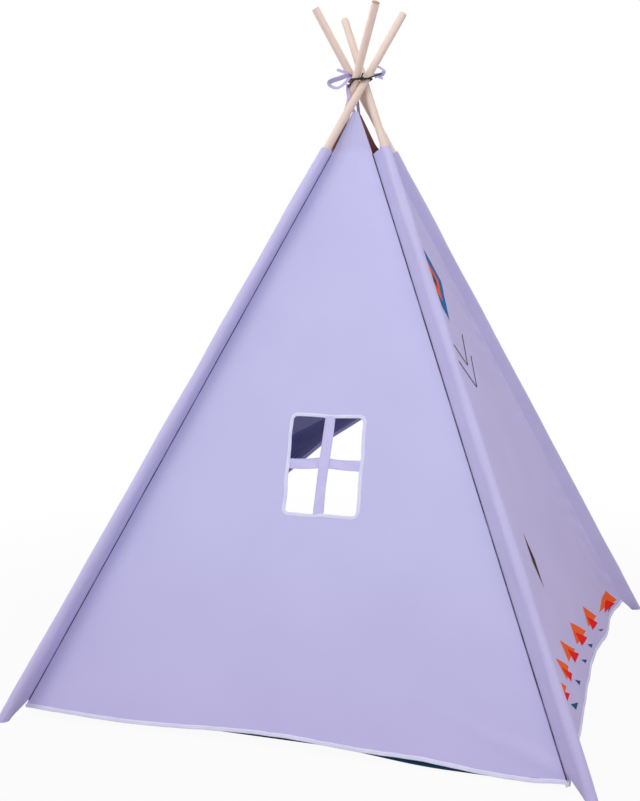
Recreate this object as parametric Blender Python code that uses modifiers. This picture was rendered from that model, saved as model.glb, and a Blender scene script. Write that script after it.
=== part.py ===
# Kids teepee: four sectioned poles in corner sleeves, four cloth panels, a tied-back door and a floor mat.
# Metres, Z up. The window side faces -Y, the door side faces +Y, and the floor is at Z = 0.
import math

import bmesh
import bpy
from mathutils import Matrix, Vector

# Poles
pole_length = 1.80
pole_diameter = 0.018
pole_end_round = 0.0025
pole_sides = 20
base_side = 1.22  # between the pole axes on the floor
crossing_height = 1.36
pole_swirl = 0.0149  # from the tent's middle line to each pole's axis where the poles cross
section_count = 3
ferrule_length = 0.070
ferrule_wall = 0.0008
fit_gap = 0.0003
section_names = ("lower", "middle", "upper")
corner_names = ("a", "b", "c", "d")
panel_names = ("window_panel", "printed_side_panel", "door_panel", "plain_side_panel")

# Sleeves
sleeve_wall = 0.0012
sleeve_slack = 0.0008  # between a ferrule and the cloth
sleeve_reach_low = 0.036  # from the pole's axis to the seam, at the floor
sleeve_reach_high = 0.020  # the same at the top
sleeve_turn = math.radians(23)  # the cloth is twisted round each pole by this much
sleeve_top_drop = 0.148  # from the crossing down to the sleeves' tops
sleeve_arc_steps = 12
sleeve_rings = 12
sleeve_ripple = 0.0010
sleeve_ripple_count = 5

# Cloth panels
cloth_thickness = 0.0015
seam_gap = 0.0014  # from the seam line to a panel's edge
hem_height = 0.024
hem_rises = (0.008, 0.0035, 0.0035, 0.0035)  # each side's hem up and down
hem_rise_counts = (1.4, 4, 4, 4)
hem_rise_starts = (math.radians(-155), math.radians(115), math.radians(230), math.radians(345))
hem_wave = 0.0035  # every hem in and out
hem_wave_count = 4
hem_bows = (0.004, 0.024, 0.0, 0.014)  # how far each side's hem is drawn in at its middle
panel_sag = 0.006
panel_columns = 24
panel_rows = 12
tip_drop = 0.062  # from the crossing down to the panels' tips
tip_width = 0.012
binding_width = 0.008
binding_thickness = 0.0026
binding_gap = 0.0004

# Window
window_side_index = 0
window_width = 0.163
window_height = 0.218
window_middle_height = 0.535
window_shift = 0.027  # to the right of the panel's middle line
window_corner = 0.016
window_strip_width = 0.023
window_strip_thickness = 0.0010
window_cutter_depth = 0.060

# Door
door_side_index = 2
door_top_height = 0.645
door_edge_turn = math.radians(60)  # from straight down to the fixed cloth's lower edge
flap_edge_turn = math.radians(49)  # from straight down to a tied flap's free edge
flap_start = 0.060  # from the door's top corner to the gathered flap
flap_gap = 0.0007  # from the fixed cloth's lower edge to the flap
flap_binding_gap = 0.0009
flap_meet_gap = 0.0005  # from the door's middle line to a closed flap's binding
flap_sleeve_gap = 0.012
flap_length = 0.62
flap_flat_run = 0.16  # the pleats start here
flap_pleat_run = 0.20  # and are full this much further on
flap_pleats = 3
flap_pleat_depth = 0.011
flap_rows = 16
flap_columns = 18
tie_width = 0.014
tie_thickness = 0.0009
tie_place_share = 0.88  # of the way from the door's top corner to the sleeve, along the flap
tie_room = 0.0042
tie_turn = math.radians(53)
tie_seam_gap = 0.006
tie_steps = 16
reach_steps = 400

# Lashing
cord_diameter = 0.004
lashing_lift = 0.010
lashing_tilt = math.radians(9)
lashing_points = 60
knot_diameter = 0.011
knot_gap = 0.0005
knot_segments = 16
knot_rings = 10
knot_turn = math.radians(-72)  # where the knot sits, counted from +X
tail_long_length = 0.050
tail_short_length = 0.011
tail_width_share = 0.8  # of the cord
tail_long_run = (0.25, 1.0, 0.27)  # out from the lashing, along it, up
tail_short_run = (0.3, 0.0, 1.0)
ribbon_width = 0.011
ribbon_thickness = 0.0008
tip_tie_width = 0.007
tip_tie_length = 0.035
tip_tie_start_share = 0.025  # of its length, clear of the panel's tip
tip_tie_steps = 4
bow_start_gap = 0.0030  # at the ribbon's middle, so that its edge just clears the cord
bow_facing = (0.25, -1.0, 0.2)  # the way that the ribbons' broad sides turn
bow_right_turn = math.radians(-22)  # where each bow's ribbon starts on the cord
bow_left_turn = math.radians(194)
# Where each bow's ribbon runs, from the lashing's middle: X, Y, Z
bow_right_spots = (
    (0.0380, -0.0057, 0.022),
    (0.0405, -0.0006, 0.034),
    (0.0458, 0.0055, 0.034),
    (0.0501, 0.0113, 0.028),
    (0.0532, 0.0145, 0.022),
    (0.0501, 0.0113, 0.015),
    (0.0445, 0.0030, 0.011),
    (0.0444, -0.0056, 0.007),
    (0.0507, -0.0054, 0.005),
    (0.0573, -0.0031, 0.002),
)
bow_left_spots = (
    (-0.0433, -0.0184, 0.0056),
    (-0.0546, -0.0257, 0.0030),
    (-0.0637, -0.0309, -0.0028),
    (-0.0625, -0.0316, -0.0097),
    (-0.0536, -0.0285, -0.0150),
    (-0.0455, -0.0256, -0.0157),
    (-0.0410, -0.0255, -0.0120),
    (-0.0395, -0.0265, -0.0075),
)

# Floor mat
mat_thickness = 0.007
mat_width = 1.04
mat_front = 0.545  # from the middle to the front edge
mat_back = 0.52
mat_corner = 0.012
mat_quilt_count = 9
mat_quilt_depth = 0.0012
mat_edge_width = 0.010
mat_edge_thickness = 0.0075

wood = ("pine", (0.86, 0.66, 0.50), 0.55, 0.0)
steel = ("ferrule steel", (0.62, 0.62, 0.62), 0.35, 1.0)
lilac = ("lilac canvas", (0.50, 0.46, 0.72), 0.90, 0.0)
pale = ("pale binding", (0.74, 0.74, 0.95), 0.85, 0.0)
ribbon_lilac = ("lilac ribbon", (0.48, 0.45, 0.70), 0.60, 0.0)
black = ("black elastic", (0.01, 0.01, 0.01), 0.60, 0.0)
teal = ("teal quilt", (0.02, 0.11, 0.20), 0.95, 0.0)

pole_radius = pole_diameter / 2
half_diagonal = base_side / math.sqrt(2)
pole_lean = math.atan2(half_diagonal, crossing_height)
leg_length = math.hypot(half_diagonal, crossing_height)
panel_lean = math.atan2(base_side / 2, crossing_height)
foot_lift = (sleeve_wall + 2 * fit_gap + pole_radius * math.sin(pole_lean)) / math.cos(pole_lean)
pole_bottom = foot_lift - leg_length
sleeve_top_height = crossing_height - sleeve_top_drop
tip_height = crossing_height - tip_drop
ferrule_radius = pole_radius + fit_gap + ferrule_wall
sleeve_radius = ferrule_radius + sleeve_slack + sleeve_wall


# Scene and materials
def clear_scene():
    for item in list(bpy.data.objects):
        bpy.data.objects.remove(item, do_unlink=True)


def make_material(look):
    name, colour, roughness, metallic = look
    material = bpy.data.materials.get(name) or bpy.data.materials.new(name)
    material.use_nodes = True
    shader = material.node_tree.nodes["Principled BSDF"]
    shader.inputs["Base Color"].default_value = (*colour, 1)
    shader.inputs["Roughness"].default_value = roughness
    shader.inputs["Metallic"].default_value = metallic
    return material


def add_object(name, mesh, look, parent=None, matrix=None):
    piece = bpy.data.objects.new(name, mesh)
    teepee.objects.link(piece)
    if mesh.materials:
        mesh.materials.clear()
    mesh.materials.append(make_material(look))
    if parent:
        piece.parent = parent
    if matrix:
        piece.matrix_local = matrix
    return piece


def add_pivot(name, matrix):
    pivot = bpy.data.objects.new(name, None)
    pivot.empty_display_size = pole_diameter
    pivot.matrix_world = matrix
    teepee.objects.link(pivot)
    return pivot


def mesh_from(name, shape):
    mesh = bpy.data.meshes.new(name)
    bmesh.ops.recalc_face_normals(shape, faces=shape.faces)
    shape.to_mesh(mesh)
    shape.free()
    return mesh


# A grid of quads through rows of points; closed joins each row's ends
def grid_mesh(name, rows, closed=False, cap_first=False):
    shape = bmesh.new()
    verts = [[shape.verts.new(point) for point in row] for row in rows]
    for low, high in zip(verts, verts[1:]):
        count = len(low) if closed else len(low) - 1
        for i in range(count):
            j = (i + 1) % len(low)
            shape.faces.new((low[i], low[j], high[j], high[i]))
    if cap_first:
        shape.faces.new(verts[0])
    return mesh_from(name, shape)


def add_thickness(piece, thickness, offset=0.0):
    solid = piece.modifiers.new("Thickness", "SOLIDIFY")
    solid.thickness = thickness
    solid.offset = offset
    solid.use_even_offset = True
    return solid


# A round cord or wire through points
def add_tube(name, points, diameter, look, parent=None, closed=False):
    curve = bpy.data.curves.new(name, "CURVE")
    curve.dimensions = "3D"
    curve.bevel_depth = diameter / 2
    curve.bevel_resolution = 2
    curve.use_fill_caps = True
    spline = curve.splines.new("POLY")
    spline.points.add(len(points) - 1)
    for slot, point in zip(spline.points, points):
        slot.co = (*point, 1)
    spline.use_cyclic_u = closed
    return add_object(name, curve, look, parent)


# A flat ribbon through points, whose width lies along the given directions
def add_ribbon(name, points, widths, width, thickness, look, parent=None):
    half = width / 2
    rows = [[p - d * half, p, p + d * half] for p, d in zip(points, widths)]
    piece = add_object(name, grid_mesh(name, rows), look, parent)
    add_thickness(piece, thickness)
    return piece


# Places on the poles
def inward(corner):
    turn = math.radians(45 + 90 * corner)
    return Vector((math.cos(turn), math.sin(turn), 0))


def pole_matrix(corner):
    lean_in = inward(corner)
    up = Vector((0, 0, 1))
    along = lean_in * math.sin(pole_lean) + up * math.cos(pole_lean)
    inner = lean_in * math.cos(pole_lean) - up * math.sin(pole_lean)
    side = up.cross(lean_in)
    place = -side * pole_swirl + up * crossing_height
    return Matrix(
        (
            (inner.x, side.x, along.x, place.x),
            (inner.y, side.y, along.y, place.y),
            (inner.z, side.z, along.z, place.z),
            (0, 0, 0, 1),
        )
    )


def pole_point(corner, height, reach=0.0):
    out = reach * math.cos(sleeve_turn)
    run = (height - crossing_height + out * math.sin(pole_lean)) / math.cos(pole_lean)
    return pole_matrix(corner) @ Vector((out, reach * math.sin(sleeve_turn), run))


def sleeve_reach(height):
    share = min(max(height / sleeve_top_height, 0), 1)
    return sleeve_reach_low + (sleeve_reach_high - sleeve_reach_low) * share


def seam_point(corner, height):
    return pole_point(corner, height, sleeve_reach(height))


# Places on a panel: side 0 is the window side, and each side runs from its own corner to the next
def side_corners(side):
    return side, (side + 1) % 4


# The direction that a panel faces, from its seams
def panel_normal(side):
    left, right = side_corners(side)
    low_left, low_right = seam_point(left, 0), seam_point(right, 0)
    high = (seam_point(left, sleeve_top_height) + seam_point(right, sleeve_top_height)) / 2
    across = low_right - low_left
    return across.cross(high - (low_left + low_right) / 2).normalized()


def panel_edges(side, height):
    left, right = side_corners(side)
    low = min(height, sleeve_top_height)
    start, end = seam_point(left, low), seam_point(right, low)
    across = (end - start).normalized()
    start += across * seam_gap
    end -= across * seam_gap
    if height > sleeve_top_height:
        share = (height - sleeve_top_height) / (tip_height - sleeve_top_height)
        tip = (pole_point(left, tip_height) + pole_point(right, tip_height)) / 2
        start = start.lerp(tip - across * tip_width / 2, share)
        end = end.lerp(tip + across * tip_width / 2, share)
    return start, end


# Main folds of the hanging cloth: a slight sag between the poles and waves that die out above the hem
def cloth_fold(side, across, height):
    rise = min(max(height / sleeve_top_height, 0), 1)
    edge = math.sin(math.pi * across)
    sag = -panel_sag * edge * math.sin(math.pi * rise) if side != door_side_index else 0
    wave = hem_wave * edge * (1 - rise) ** 4 * math.sin(2 * math.pi * hem_wave_count * across + side)
    bow = -hem_bows[side] * edge * (1 - rise) ** 2
    return sag + wave + bow


def panel_point(side, across, height):
    start, end = panel_edges(side, height)
    return start.lerp(end, across) + panel_normal(side) * cloth_fold(side, across, height)


def hem_at(side, across):
    turn = 2 * math.pi * hem_rise_counts[side] * across + hem_rise_starts[side]
    return hem_height + hem_rises[side] * math.sin(math.pi * across) * math.sin(turn)


def side_frame(side, height):
    start, end = panel_edges(side, height)
    across = (end - start).normalized()
    normal = panel_normal(side)
    down = normal.cross(across).normalized() * -1
    return (start + end) / 2, across, down


# Poles with their ferrules
def add_pole(corner):
    letter = corner_names[corner]
    pivot = add_pivot("pole_" + letter + "_pivot", pole_matrix(corner))
    section_length = pole_length / section_count
    for index, part_name in enumerate(section_names):
        name = "pole_" + letter + "_" + part_name
        start = pole_bottom + index * section_length
        length = section_length - (fit_gap if index < section_count - 1 else 0)
        shape = bmesh.new()
        bmesh.ops.create_cone(
            shape,
            cap_ends=True,
            segments=pole_sides,
            radius1=pole_radius,
            radius2=pole_radius,
            depth=length,
        )
        middle = Matrix.Translation((0, 0, start + length / 2))
        piece = add_object(name, mesh_from(name, shape), wood, pivot, middle)
        rounding = piece.modifiers.new("Round ends", "BEVEL")
        rounding.width = pole_end_round
        rounding.segments = 2
        rounding.limit_method = "ANGLE"
        rounding.angle_limit = math.radians(60)
    for index in range(1, section_count):
        name = "pole_" + letter + "_ferrule_" + section_names[index - 1]
        middle = pole_bottom + index * section_length
        profile = bmesh.new()
        inner = pole_radius + fit_gap
        top = profile.verts.new((inner, 0, ferrule_length / 2))
        bottom = profile.verts.new((inner, 0, -ferrule_length / 2))
        profile.edges.new((top, bottom))
        mesh = bpy.data.meshes.new(name)
        profile.to_mesh(mesh)
        profile.free()
        piece = add_object(name, mesh, steel, pivot, Matrix.Translation((0, 0, middle)))
        turning = piece.modifiers.new("Turn", "SCREW")
        turning.angle = 2 * math.pi
        turning.steps = pole_sides
        turning.render_steps = pole_sides
        turning.use_merge_vertices = True
        turning.merge_threshold = fit_gap / 10
        add_thickness(piece, ferrule_wall, 1.0)
    return pivot


# Sleeve outline across the pole: round behind the pole and drawn in to the seam
def sleeve_outline(reach, radius):
    tangent = math.acos(radius / reach)
    sweep = 2 * (math.pi - tangent)
    points = [Vector((reach, 0, 0))]
    for step in range(sleeve_arc_steps + 1):
        turn = tangent + sweep * step / sleeve_arc_steps
        points.append(Vector((radius * math.cos(turn), radius * math.sin(turn), 0)))
    twist = Matrix.Rotation(sleeve_turn, 3, "Z")
    return [twist @ point for point in points]


def add_sleeve(corner, pivot):
    name = "sleeve_" + corner_names[corner]
    slope = math.tan(pole_lean)
    rows = []
    for ring in range(sleeve_rings + 1):
        share = ring / sleeve_rings
        height = sleeve_top_height * share
        reach = sleeve_reach(height)
        ripple = sleeve_ripple * (1 - math.cos(2 * math.pi * sleeve_ripple_count * share)) / 2
        base = (height - crossing_height) / math.cos(pole_lean)
        row = [
            Vector((p.x, p.y, base + p.x * slope)) for p in sleeve_outline(reach, sleeve_radius + ripple)
        ]
        rows.append(row)
    mesh = grid_mesh(name, rows, closed=True, cap_first=True)
    piece = add_object(name, mesh, lilac, pivot)
    add_thickness(piece, sleeve_wall, -1.0)
    return piece


# Cloth panels
def add_panel(name, side, lower_edge):
    rows = []
    for row_index in range(panel_rows + 1):
        share = row_index / panel_rows
        row = []
        for column in range(panel_columns + 1):
            across = column / panel_columns
            bottom = lower_edge(across)
            row.append(panel_point(side, across, bottom + (tip_height - bottom) * share))
        rows.append(row)
    piece = add_object(name, grid_mesh(name, rows), lilac)
    add_thickness(piece, cloth_thickness)
    return piece


def add_hem_binding(name, side):
    rows = []
    for level in (0, 1):
        row = []
        for column in range(panel_columns + 1):
            across = column / panel_columns
            top = hem_at(side, across) - binding_gap
            row.append(panel_point(side, across, top - binding_width * math.cos(panel_lean) * level))
        rows.append(row)
    piece = add_object(name, grid_mesh(name, rows), pale)
    add_thickness(piece, binding_thickness)
    return piece


# Rounded rectangle in a plane
def rounded_outline(width, height, corner, steps=5):
    points = []
    steps = steps if corner else 0
    for quarter in range(4):
        turn = quarter * math.pi / 2
        sign_x = 1 if quarter in (0, 3) else -1
        sign_y = 1 if quarter in (0, 1) else -1
        centre = Vector((sign_x * (width / 2 - corner), sign_y * (height / 2 - corner)))
        for step in range(steps + 1):
            angle = turn + math.pi / 2 * step / max(steps, 1)
            points.append(centre + corner * Vector((math.cos(angle), math.sin(angle))))
    return points


def window_matrix():
    _, across, down = side_frame(window_side_index, window_middle_height)
    start, end = panel_edges(window_side_index, window_middle_height)
    share = 0.5 + window_shift / (end - start).length
    place = panel_point(window_side_index, share, window_middle_height)
    up = -down
    out = across.cross(up)
    return Matrix(
        (
            (across.x, up.x, out.x, place.x),
            (across.y, up.y, out.y, place.y),
            (across.z, up.z, out.z, place.z),
            (0, 0, 0, 1),
        )
    )


def flat_solid(name, outlines, thickness, look, matrix):
    curve = bpy.data.curves.new(name, "CURVE")
    curve.dimensions = "2D"
    curve.fill_mode = "BOTH"
    curve.extrude = thickness / 2
    for outline in outlines:
        spline = curve.splines.new("POLY")
        spline.points.add(len(outline) - 1)
        for slot, point in zip(spline.points, outline):
            slot.co = (point.x, point.y, 0, 1)
        spline.use_cyclic_u = True
    return add_object(name, curve, look, None, matrix)


def add_window(panel):
    matrix = window_matrix()
    hole = rounded_outline(window_width, window_height, window_corner)
    cutter_curve = flat_solid("window_cutter_curve", [hole], window_cutter_depth, lilac, matrix)
    bpy.context.view_layer.update()
    depsgraph = bpy.context.evaluated_depsgraph_get()
    cutter_mesh = bpy.data.meshes.new_from_object(cutter_curve.evaluated_get(depsgraph))
    welded = bmesh.new()
    welded.from_mesh(cutter_mesh)
    bmesh.ops.remove_doubles(welded, verts=welded.verts, dist=fit_gap / 10)
    welded.to_mesh(cutter_mesh)
    welded.free()
    bpy.data.objects.remove(cutter_curve, do_unlink=True)
    cutter = bpy.data.objects.new("window_cutter", cutter_mesh)
    cutter.matrix_world = matrix
    cutter.display_type = "WIRE"
    cutter.hide_render = True
    cutters.objects.link(cutter)
    cut = panel.modifiers.new("Window", "BOOLEAN")
    cut.operation = "DIFFERENCE"
    cut.solver = "EXACT"
    cut.object = cutter
    ring_outer = rounded_outline(
        window_width - 2 * binding_gap, window_height - 2 * binding_gap, window_corner - binding_gap
    )
    inner_width = window_width - 2 * (binding_gap + binding_width)
    inner_height = window_height - 2 * (binding_gap + binding_width)
    ring_inner = rounded_outline(inner_width, inner_height, window_corner - binding_gap - binding_width)
    flat_solid("window_binding", [ring_outer, ring_inner], binding_thickness, pale, matrix)
    strip_length = inner_height - 2 * binding_gap
    strip_offset = (window_strip_thickness + fit_gap) / 2
    strips = (
        ("window_strip_upright", window_strip_width, strip_length, strip_offset),
        ("window_strip_level", inner_width - 2 * binding_gap, window_strip_width, -strip_offset),
    )
    for name, width, height, offset in strips:
        outline = [
            Vector((x * width / 2, y * height / 2)) for x, y in ((-1, -1), (1, -1), (1, 1), (-1, 1))
        ]
        place = matrix @ Matrix.Translation((0, 0, offset))
        flat_solid(name, [outline], window_strip_thickness, lilac, place)


# Door panel and tied-back flaps
# The fixed cloth's lower edge falls from the door's top to each seam, which spreads as it goes down
def door_edge(across):
    start, end = panel_edges(door_side_index, door_top_height)
    low_start, low_end = panel_edges(door_side_index, hem_height)
    half = (end - start).length / 2
    spread = ((low_end - low_start).length / 2 - half) / (door_top_height - hem_height)
    run = abs(across - 0.5) * 2
    fall = run * half / (math.tan(door_edge_turn) / math.cos(panel_lean) - run * spread)
    return door_top_height - fall


# How far a line from a place on the door side runs before it comes within a gap of the seam
def run_to_seam(start_place, direction, hand, gap, limit):
    across = side_frame(door_side_index, door_top_height)[1]
    step = limit / reach_steps
    run = 0.0
    while run < limit:
        place = start_place + direction * (run + step)
        start, end = panel_edges(door_side_index, place.z)
        edge = end if hand > 0 else start
        if (edge - place).dot(across) * hand < gap:
            break
        run += step
    return run


def flap_reach(turn, hand):
    middle, aside, down, _ = flap_frame(hand)
    direction = aside * math.sin(turn) + down * math.cos(turn)
    return run_to_seam(middle, direction, hand, flap_sleeve_gap, flap_length)


def flap_frame(hand):
    middle, across, down = side_frame(door_side_index, door_top_height)
    return middle, across * hand, down, panel_normal(door_side_index)


# A place on the fixed cloth's lower edge, by its distance from the door's top corner
def edge_place(hand, run):
    first = panel_columns // 2
    spots = []
    for step in range(first + 1):
        across = (first + hand * step) / panel_columns
        spots.append(panel_point(door_side_index, across, door_edge(across)))
    left = run
    for near, far in zip(spots, spots[1:]):
        length = (far - near).length
        if left <= length:
            return near.lerp(far, left / length)
        left -= length
    return spots[-1] + (spots[-1] - spots[-2]).normalized() * left


# How far that edge strays from the straight line that the flap's fan starts at
def edge_shift(hand, run):
    middle, aside, down, _ = flap_frame(hand)
    direction = aside * math.sin(door_edge_turn) + down * math.cos(door_edge_turn)
    return edge_place(hand, run) - (middle + direction * run)


def add_flap(name, hand, pivot):
    middle, aside, down, normal = flap_frame(hand)
    rows = []
    for row_index in range(flap_rows + 1):
        row = []
        for column in range(flap_columns + 1):
            share = column / flap_columns
            turn = door_edge_turn + (flap_edge_turn - door_edge_turn) * share
            shift = flap_gap - (flap_gap + flap_meet_gap + binding_width + flap_binding_gap) * share
            reach = flap_reach(turn, hand)
            run = flap_start + (reach - flap_start) * row_index / flap_rows
            direction = aside * math.sin(turn) + down * math.cos(turn)
            square = aside * math.cos(turn) * -1 + down * math.sin(turn)
            depth = flap_pleat_depth * min(max((run - flap_flat_run) / flap_pleat_run, 0), 1)
            pleat = depth * math.sin(2 * math.pi * flap_pleats * share) * math.sin(math.pi * share)
            place = middle + direction * run + square * shift + normal * pleat + edge_shift(hand, run)
            row.append(pivot.matrix_world.inverted() @ place)
        rows.append(row)
    piece = add_object(name, grid_mesh(name, rows), lilac, pivot)
    add_thickness(piece, cloth_thickness)
    return piece


def add_flap_binding(name, hand, pivot):
    middle, aside, down, _ = flap_frame(hand)
    direction = aside * math.sin(flap_edge_turn) + down * math.cos(flap_edge_turn)
    square = aside * math.cos(flap_edge_turn) * -1 + down * math.sin(flap_edge_turn)
    reach = flap_reach(flap_edge_turn, hand)
    rows = []
    for level in (flap_meet_gap, flap_meet_gap + binding_width):
        row = []
        for step in range(flap_rows + 1):
            run = flap_start + (reach - flap_start) * step / flap_rows
            place = middle + direction * run - square * level + edge_shift(hand, run)
            row.append(pivot.matrix_world.inverted() @ place)
        rows.append(row)
    piece = add_object(name, grid_mesh(name, rows), pale, pivot)
    add_thickness(piece, binding_thickness)
    return piece


# A tie is a ribbon round a gathered flap, open towards the sleeve
def add_flap_tie(name, hand, pivot):
    middle, aside, down, normal = flap_frame(hand)
    direction = aside * math.sin(tie_turn) + down * math.cos(tie_turn)
    square = aside * math.cos(tie_turn) * -1 + down * math.sin(tie_turn)
    depth = flap_pleat_depth + tie_room
    tie_place = tie_place_share * flap_reach(tie_turn, hand)
    reach = tie_place * math.sin(tie_turn - flap_edge_turn) - flap_meet_gap + tie_room
    start = -run_to_seam(middle + direction * tie_place, -square, hand, tie_seam_gap, flap_length)
    points = []
    for step in range(tie_steps + 1):
        turn = math.pi * step / tie_steps - math.pi / 2
        along = start + (reach - start) * math.cos(turn)
        points.append(middle + direction * tie_place + square * along + normal * depth * math.sin(turn))
    local = pivot.matrix_world.inverted()
    points = [local @ point for point in points]
    widths = [direction] * len(points)
    return add_ribbon(name, points, widths, tie_width, tie_thickness, ribbon_lilac, pivot)


# Lashing: a loop of elastic cord round the crossing, its knot and tails, and two ribbon bows.
# The cord lies round the poles like a stretched band: the outermost pole's surface in each direction
def lashing_place(turn, reach):
    facing = Vector((math.cos(turn), math.sin(turn), 0))
    wide = pole_radius / math.cos(pole_lean)
    far = None
    for corner in range(4):
        level = crossing_height + lashing_lift
        centre = pole_point(corner, level)
        level += centre.x * math.tan(lashing_tilt)
        centre = pole_point(corner, level)
        along = inward(corner)
        side = Vector((-along.y, along.x, 0))
        a = wide * facing.dot(along)
        b = pole_radius * facing.dot(side)
        edge = centre + (along * a * wide + side * b * pole_radius) / math.hypot(a, b)
        if far is None or edge.dot(facing) > far.dot(facing):
            far = edge
    return far + facing * reach / math.cos(pole_lean)


def add_lashing():
    knot_place = lashing_place(knot_turn, knot_diameter / 2)
    clear = knot_diameter / 2 + cord_diameter / 2 + knot_gap
    ring = []
    for step in range(1, lashing_points):
        place = lashing_place(knot_turn + 2 * math.pi * step / lashing_points, cord_diameter / 2 + fit_gap)
        if (place - knot_place).length > clear:
            ring.append(place)
    add_tube("lashing_cord", ring, cord_diameter, black)
    shape = bmesh.new()
    bmesh.ops.create_uvsphere(
        shape, u_segments=knot_segments, v_segments=knot_rings, radius=knot_diameter / 2
    )
    knot = add_object("lashing_knot", mesh_from("lashing_knot", shape), black)
    knot.location = knot_place
    out = Vector((math.cos(knot_turn), math.sin(knot_turn), 0))
    side = Vector((-out.y, out.x, 0))
    reach = knot_diameter / 2 + knot_gap
    tails = (
        ("lashing_tail_long", tail_long_run, tail_long_length),
        ("lashing_tail_short", tail_short_run, tail_short_length),
    )
    for name, run, length in tails:
        direction = (out * run[0] + side * run[1] + Vector((0, 0, run[2]))).normalized()
        ends = [knot_place + direction * reach, knot_place + direction * (reach + length)]
        add_tube(name, ends, cord_diameter * tail_width_share, black)


def add_bow(name, spots, start_turn):
    origin = Vector((0, 0, crossing_height + lashing_lift))
    start = lashing_place(start_turn, cord_diameter + bow_start_gap)
    points = [start] + [origin + Vector(spot) for spot in spots]
    widths = []
    for index, point in enumerate(points):
        before = points[max(index - 1, 0)]
        after = points[min(index + 1, len(points) - 1)]
        run = (after - before).normalized()
        widths.append(run.cross(Vector(bow_facing)).normalized().cross(run).normalized())
    return add_ribbon(name, points, widths, ribbon_width, ribbon_thickness, ribbon_lilac)


# A ribbon strip carries each panel's tip from the lashing
def add_tip_tie(name, side):
    start, end = panel_edges(side, tip_height)
    tip = (start + end) / 2
    across = (end - start).normalized()
    top = tip + (tip - panel_point(side, 0.5, sleeve_top_height)).normalized() * tip_tie_length
    foot = tip.lerp(top, tip_tie_start_share)
    points = [foot.lerp(top, step / tip_tie_steps) for step in range(tip_tie_steps + 1)]
    widths = [across] * len(points)
    return add_ribbon(name, points, widths, tip_tie_width, ribbon_thickness, ribbon_lilac)


# Floor mat: flat below, quilted above, with a bound edge
def mat_outline(inset, corner):
    outline = rounded_outline(mat_width - 2 * inset, mat_front + mat_back - 2 * inset, corner)
    return [Vector((p.x, p.y + (mat_back - mat_front) / 2)) for p in outline]


def add_mat():
    half_width = mat_width / 2 - mat_edge_width - binding_gap
    half_length = (mat_front + mat_back) / 2 - mat_edge_width - binding_gap
    cells = mat_quilt_count * 2
    shape = bmesh.new()
    tops = []
    for row in range(cells + 1):
        line = []
        for column in range(cells + 1):
            puff = mat_quilt_depth if row % 2 and column % 2 else 0
            x = half_width * (2 * column / cells - 1)
            y = (mat_back - mat_front) / 2 + half_length * (2 * row / cells - 1)
            line.append(shape.verts.new((x, y, mat_thickness - mat_quilt_depth + puff)))
        tops.append(line)
    for low, high in zip(tops, tops[1:]):
        for i in range(cells):
            shape.faces.new((low[i], low[i + 1], high[i + 1], high[i]))
    rim = [e for e in shape.edges if e.is_boundary]
    wall = bmesh.ops.extrude_edge_only(shape, edges=rim)["geom"]
    for item in wall:
        if isinstance(item, bmesh.types.BMVert):
            item.co.z = 0
    bottom = [e for e in shape.edges if e.is_boundary]
    bmesh.ops.edgeloop_fill(shape, edges=bottom)
    add_object("floor_mat", mesh_from("floor_mat", shape), teal)
    outlines = [mat_outline(0, mat_corner), mat_outline(mat_edge_width, 0)]
    place = Matrix.Translation((0, 0, mat_edge_thickness / 2))
    flat_solid("floor_mat_binding", outlines, mat_edge_thickness, teal, place)


clear_scene()
teepee = bpy.data.collections.new("kids_teepee")
bpy.context.scene.collection.children.link(teepee)
cutters = bpy.data.collections.new("cutters")
bpy.context.scene.collection.children.link(cutters)

for corner in range(4):
    pivot = add_pole(corner)
    add_sleeve(corner, pivot)

for index, panel_name in enumerate(panel_names):
    if index == door_side_index:
        add_panel(panel_name, index, door_edge)
        continue
    panel = add_panel(panel_name, index, lambda across: hem_at(index, across))
    if index == window_side_index:
        add_window(panel)
    add_hem_binding(panel_name + "_hem", index)

for name, hand in (("door_flap_left", -1), ("door_flap_right", 1)):
    pivot = add_pivot(name + "_pivot", Matrix.Translation(flap_frame(hand)[0]))
    bpy.context.view_layer.update()
    add_flap(name, hand, pivot)
    add_flap_binding(name + "_binding", hand, pivot)
    add_flap_tie(name + "_tie", hand, pivot)

add_lashing()
for index, panel_name in enumerate(panel_names):
    add_tip_tie(panel_name + "_tip_tie", index)
add_bow("ribbon_bow_right", bow_right_spots, bow_right_turn)
add_bow("ribbon_bow_left", bow_left_spots, bow_left_turn)
add_mat()
print("pieces", len(teepee.objects))
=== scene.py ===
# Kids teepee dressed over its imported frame. Metres, Z up, the window side faces -Y and the door side +Y.
import math
from functools import partial

import bmesh
import bpy
from mathutils import Matrix, Vector, noise


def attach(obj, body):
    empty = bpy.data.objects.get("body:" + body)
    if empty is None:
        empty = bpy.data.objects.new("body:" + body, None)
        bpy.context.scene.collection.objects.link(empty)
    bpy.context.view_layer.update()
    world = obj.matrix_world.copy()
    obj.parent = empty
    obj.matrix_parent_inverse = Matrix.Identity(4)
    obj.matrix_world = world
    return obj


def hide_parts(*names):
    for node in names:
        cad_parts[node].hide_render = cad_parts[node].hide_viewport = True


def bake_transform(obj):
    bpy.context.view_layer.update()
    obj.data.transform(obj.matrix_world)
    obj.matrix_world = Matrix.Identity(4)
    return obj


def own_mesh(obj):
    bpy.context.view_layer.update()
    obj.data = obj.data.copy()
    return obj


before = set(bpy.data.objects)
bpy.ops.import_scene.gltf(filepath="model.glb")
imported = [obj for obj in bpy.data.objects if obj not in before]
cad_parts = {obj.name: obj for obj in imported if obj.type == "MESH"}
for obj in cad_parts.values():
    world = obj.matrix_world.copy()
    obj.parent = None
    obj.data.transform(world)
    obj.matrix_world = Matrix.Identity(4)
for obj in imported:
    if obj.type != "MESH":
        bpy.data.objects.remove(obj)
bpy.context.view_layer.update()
scene = bpy.context.scene
up = Vector((0, 0, 1))

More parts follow.
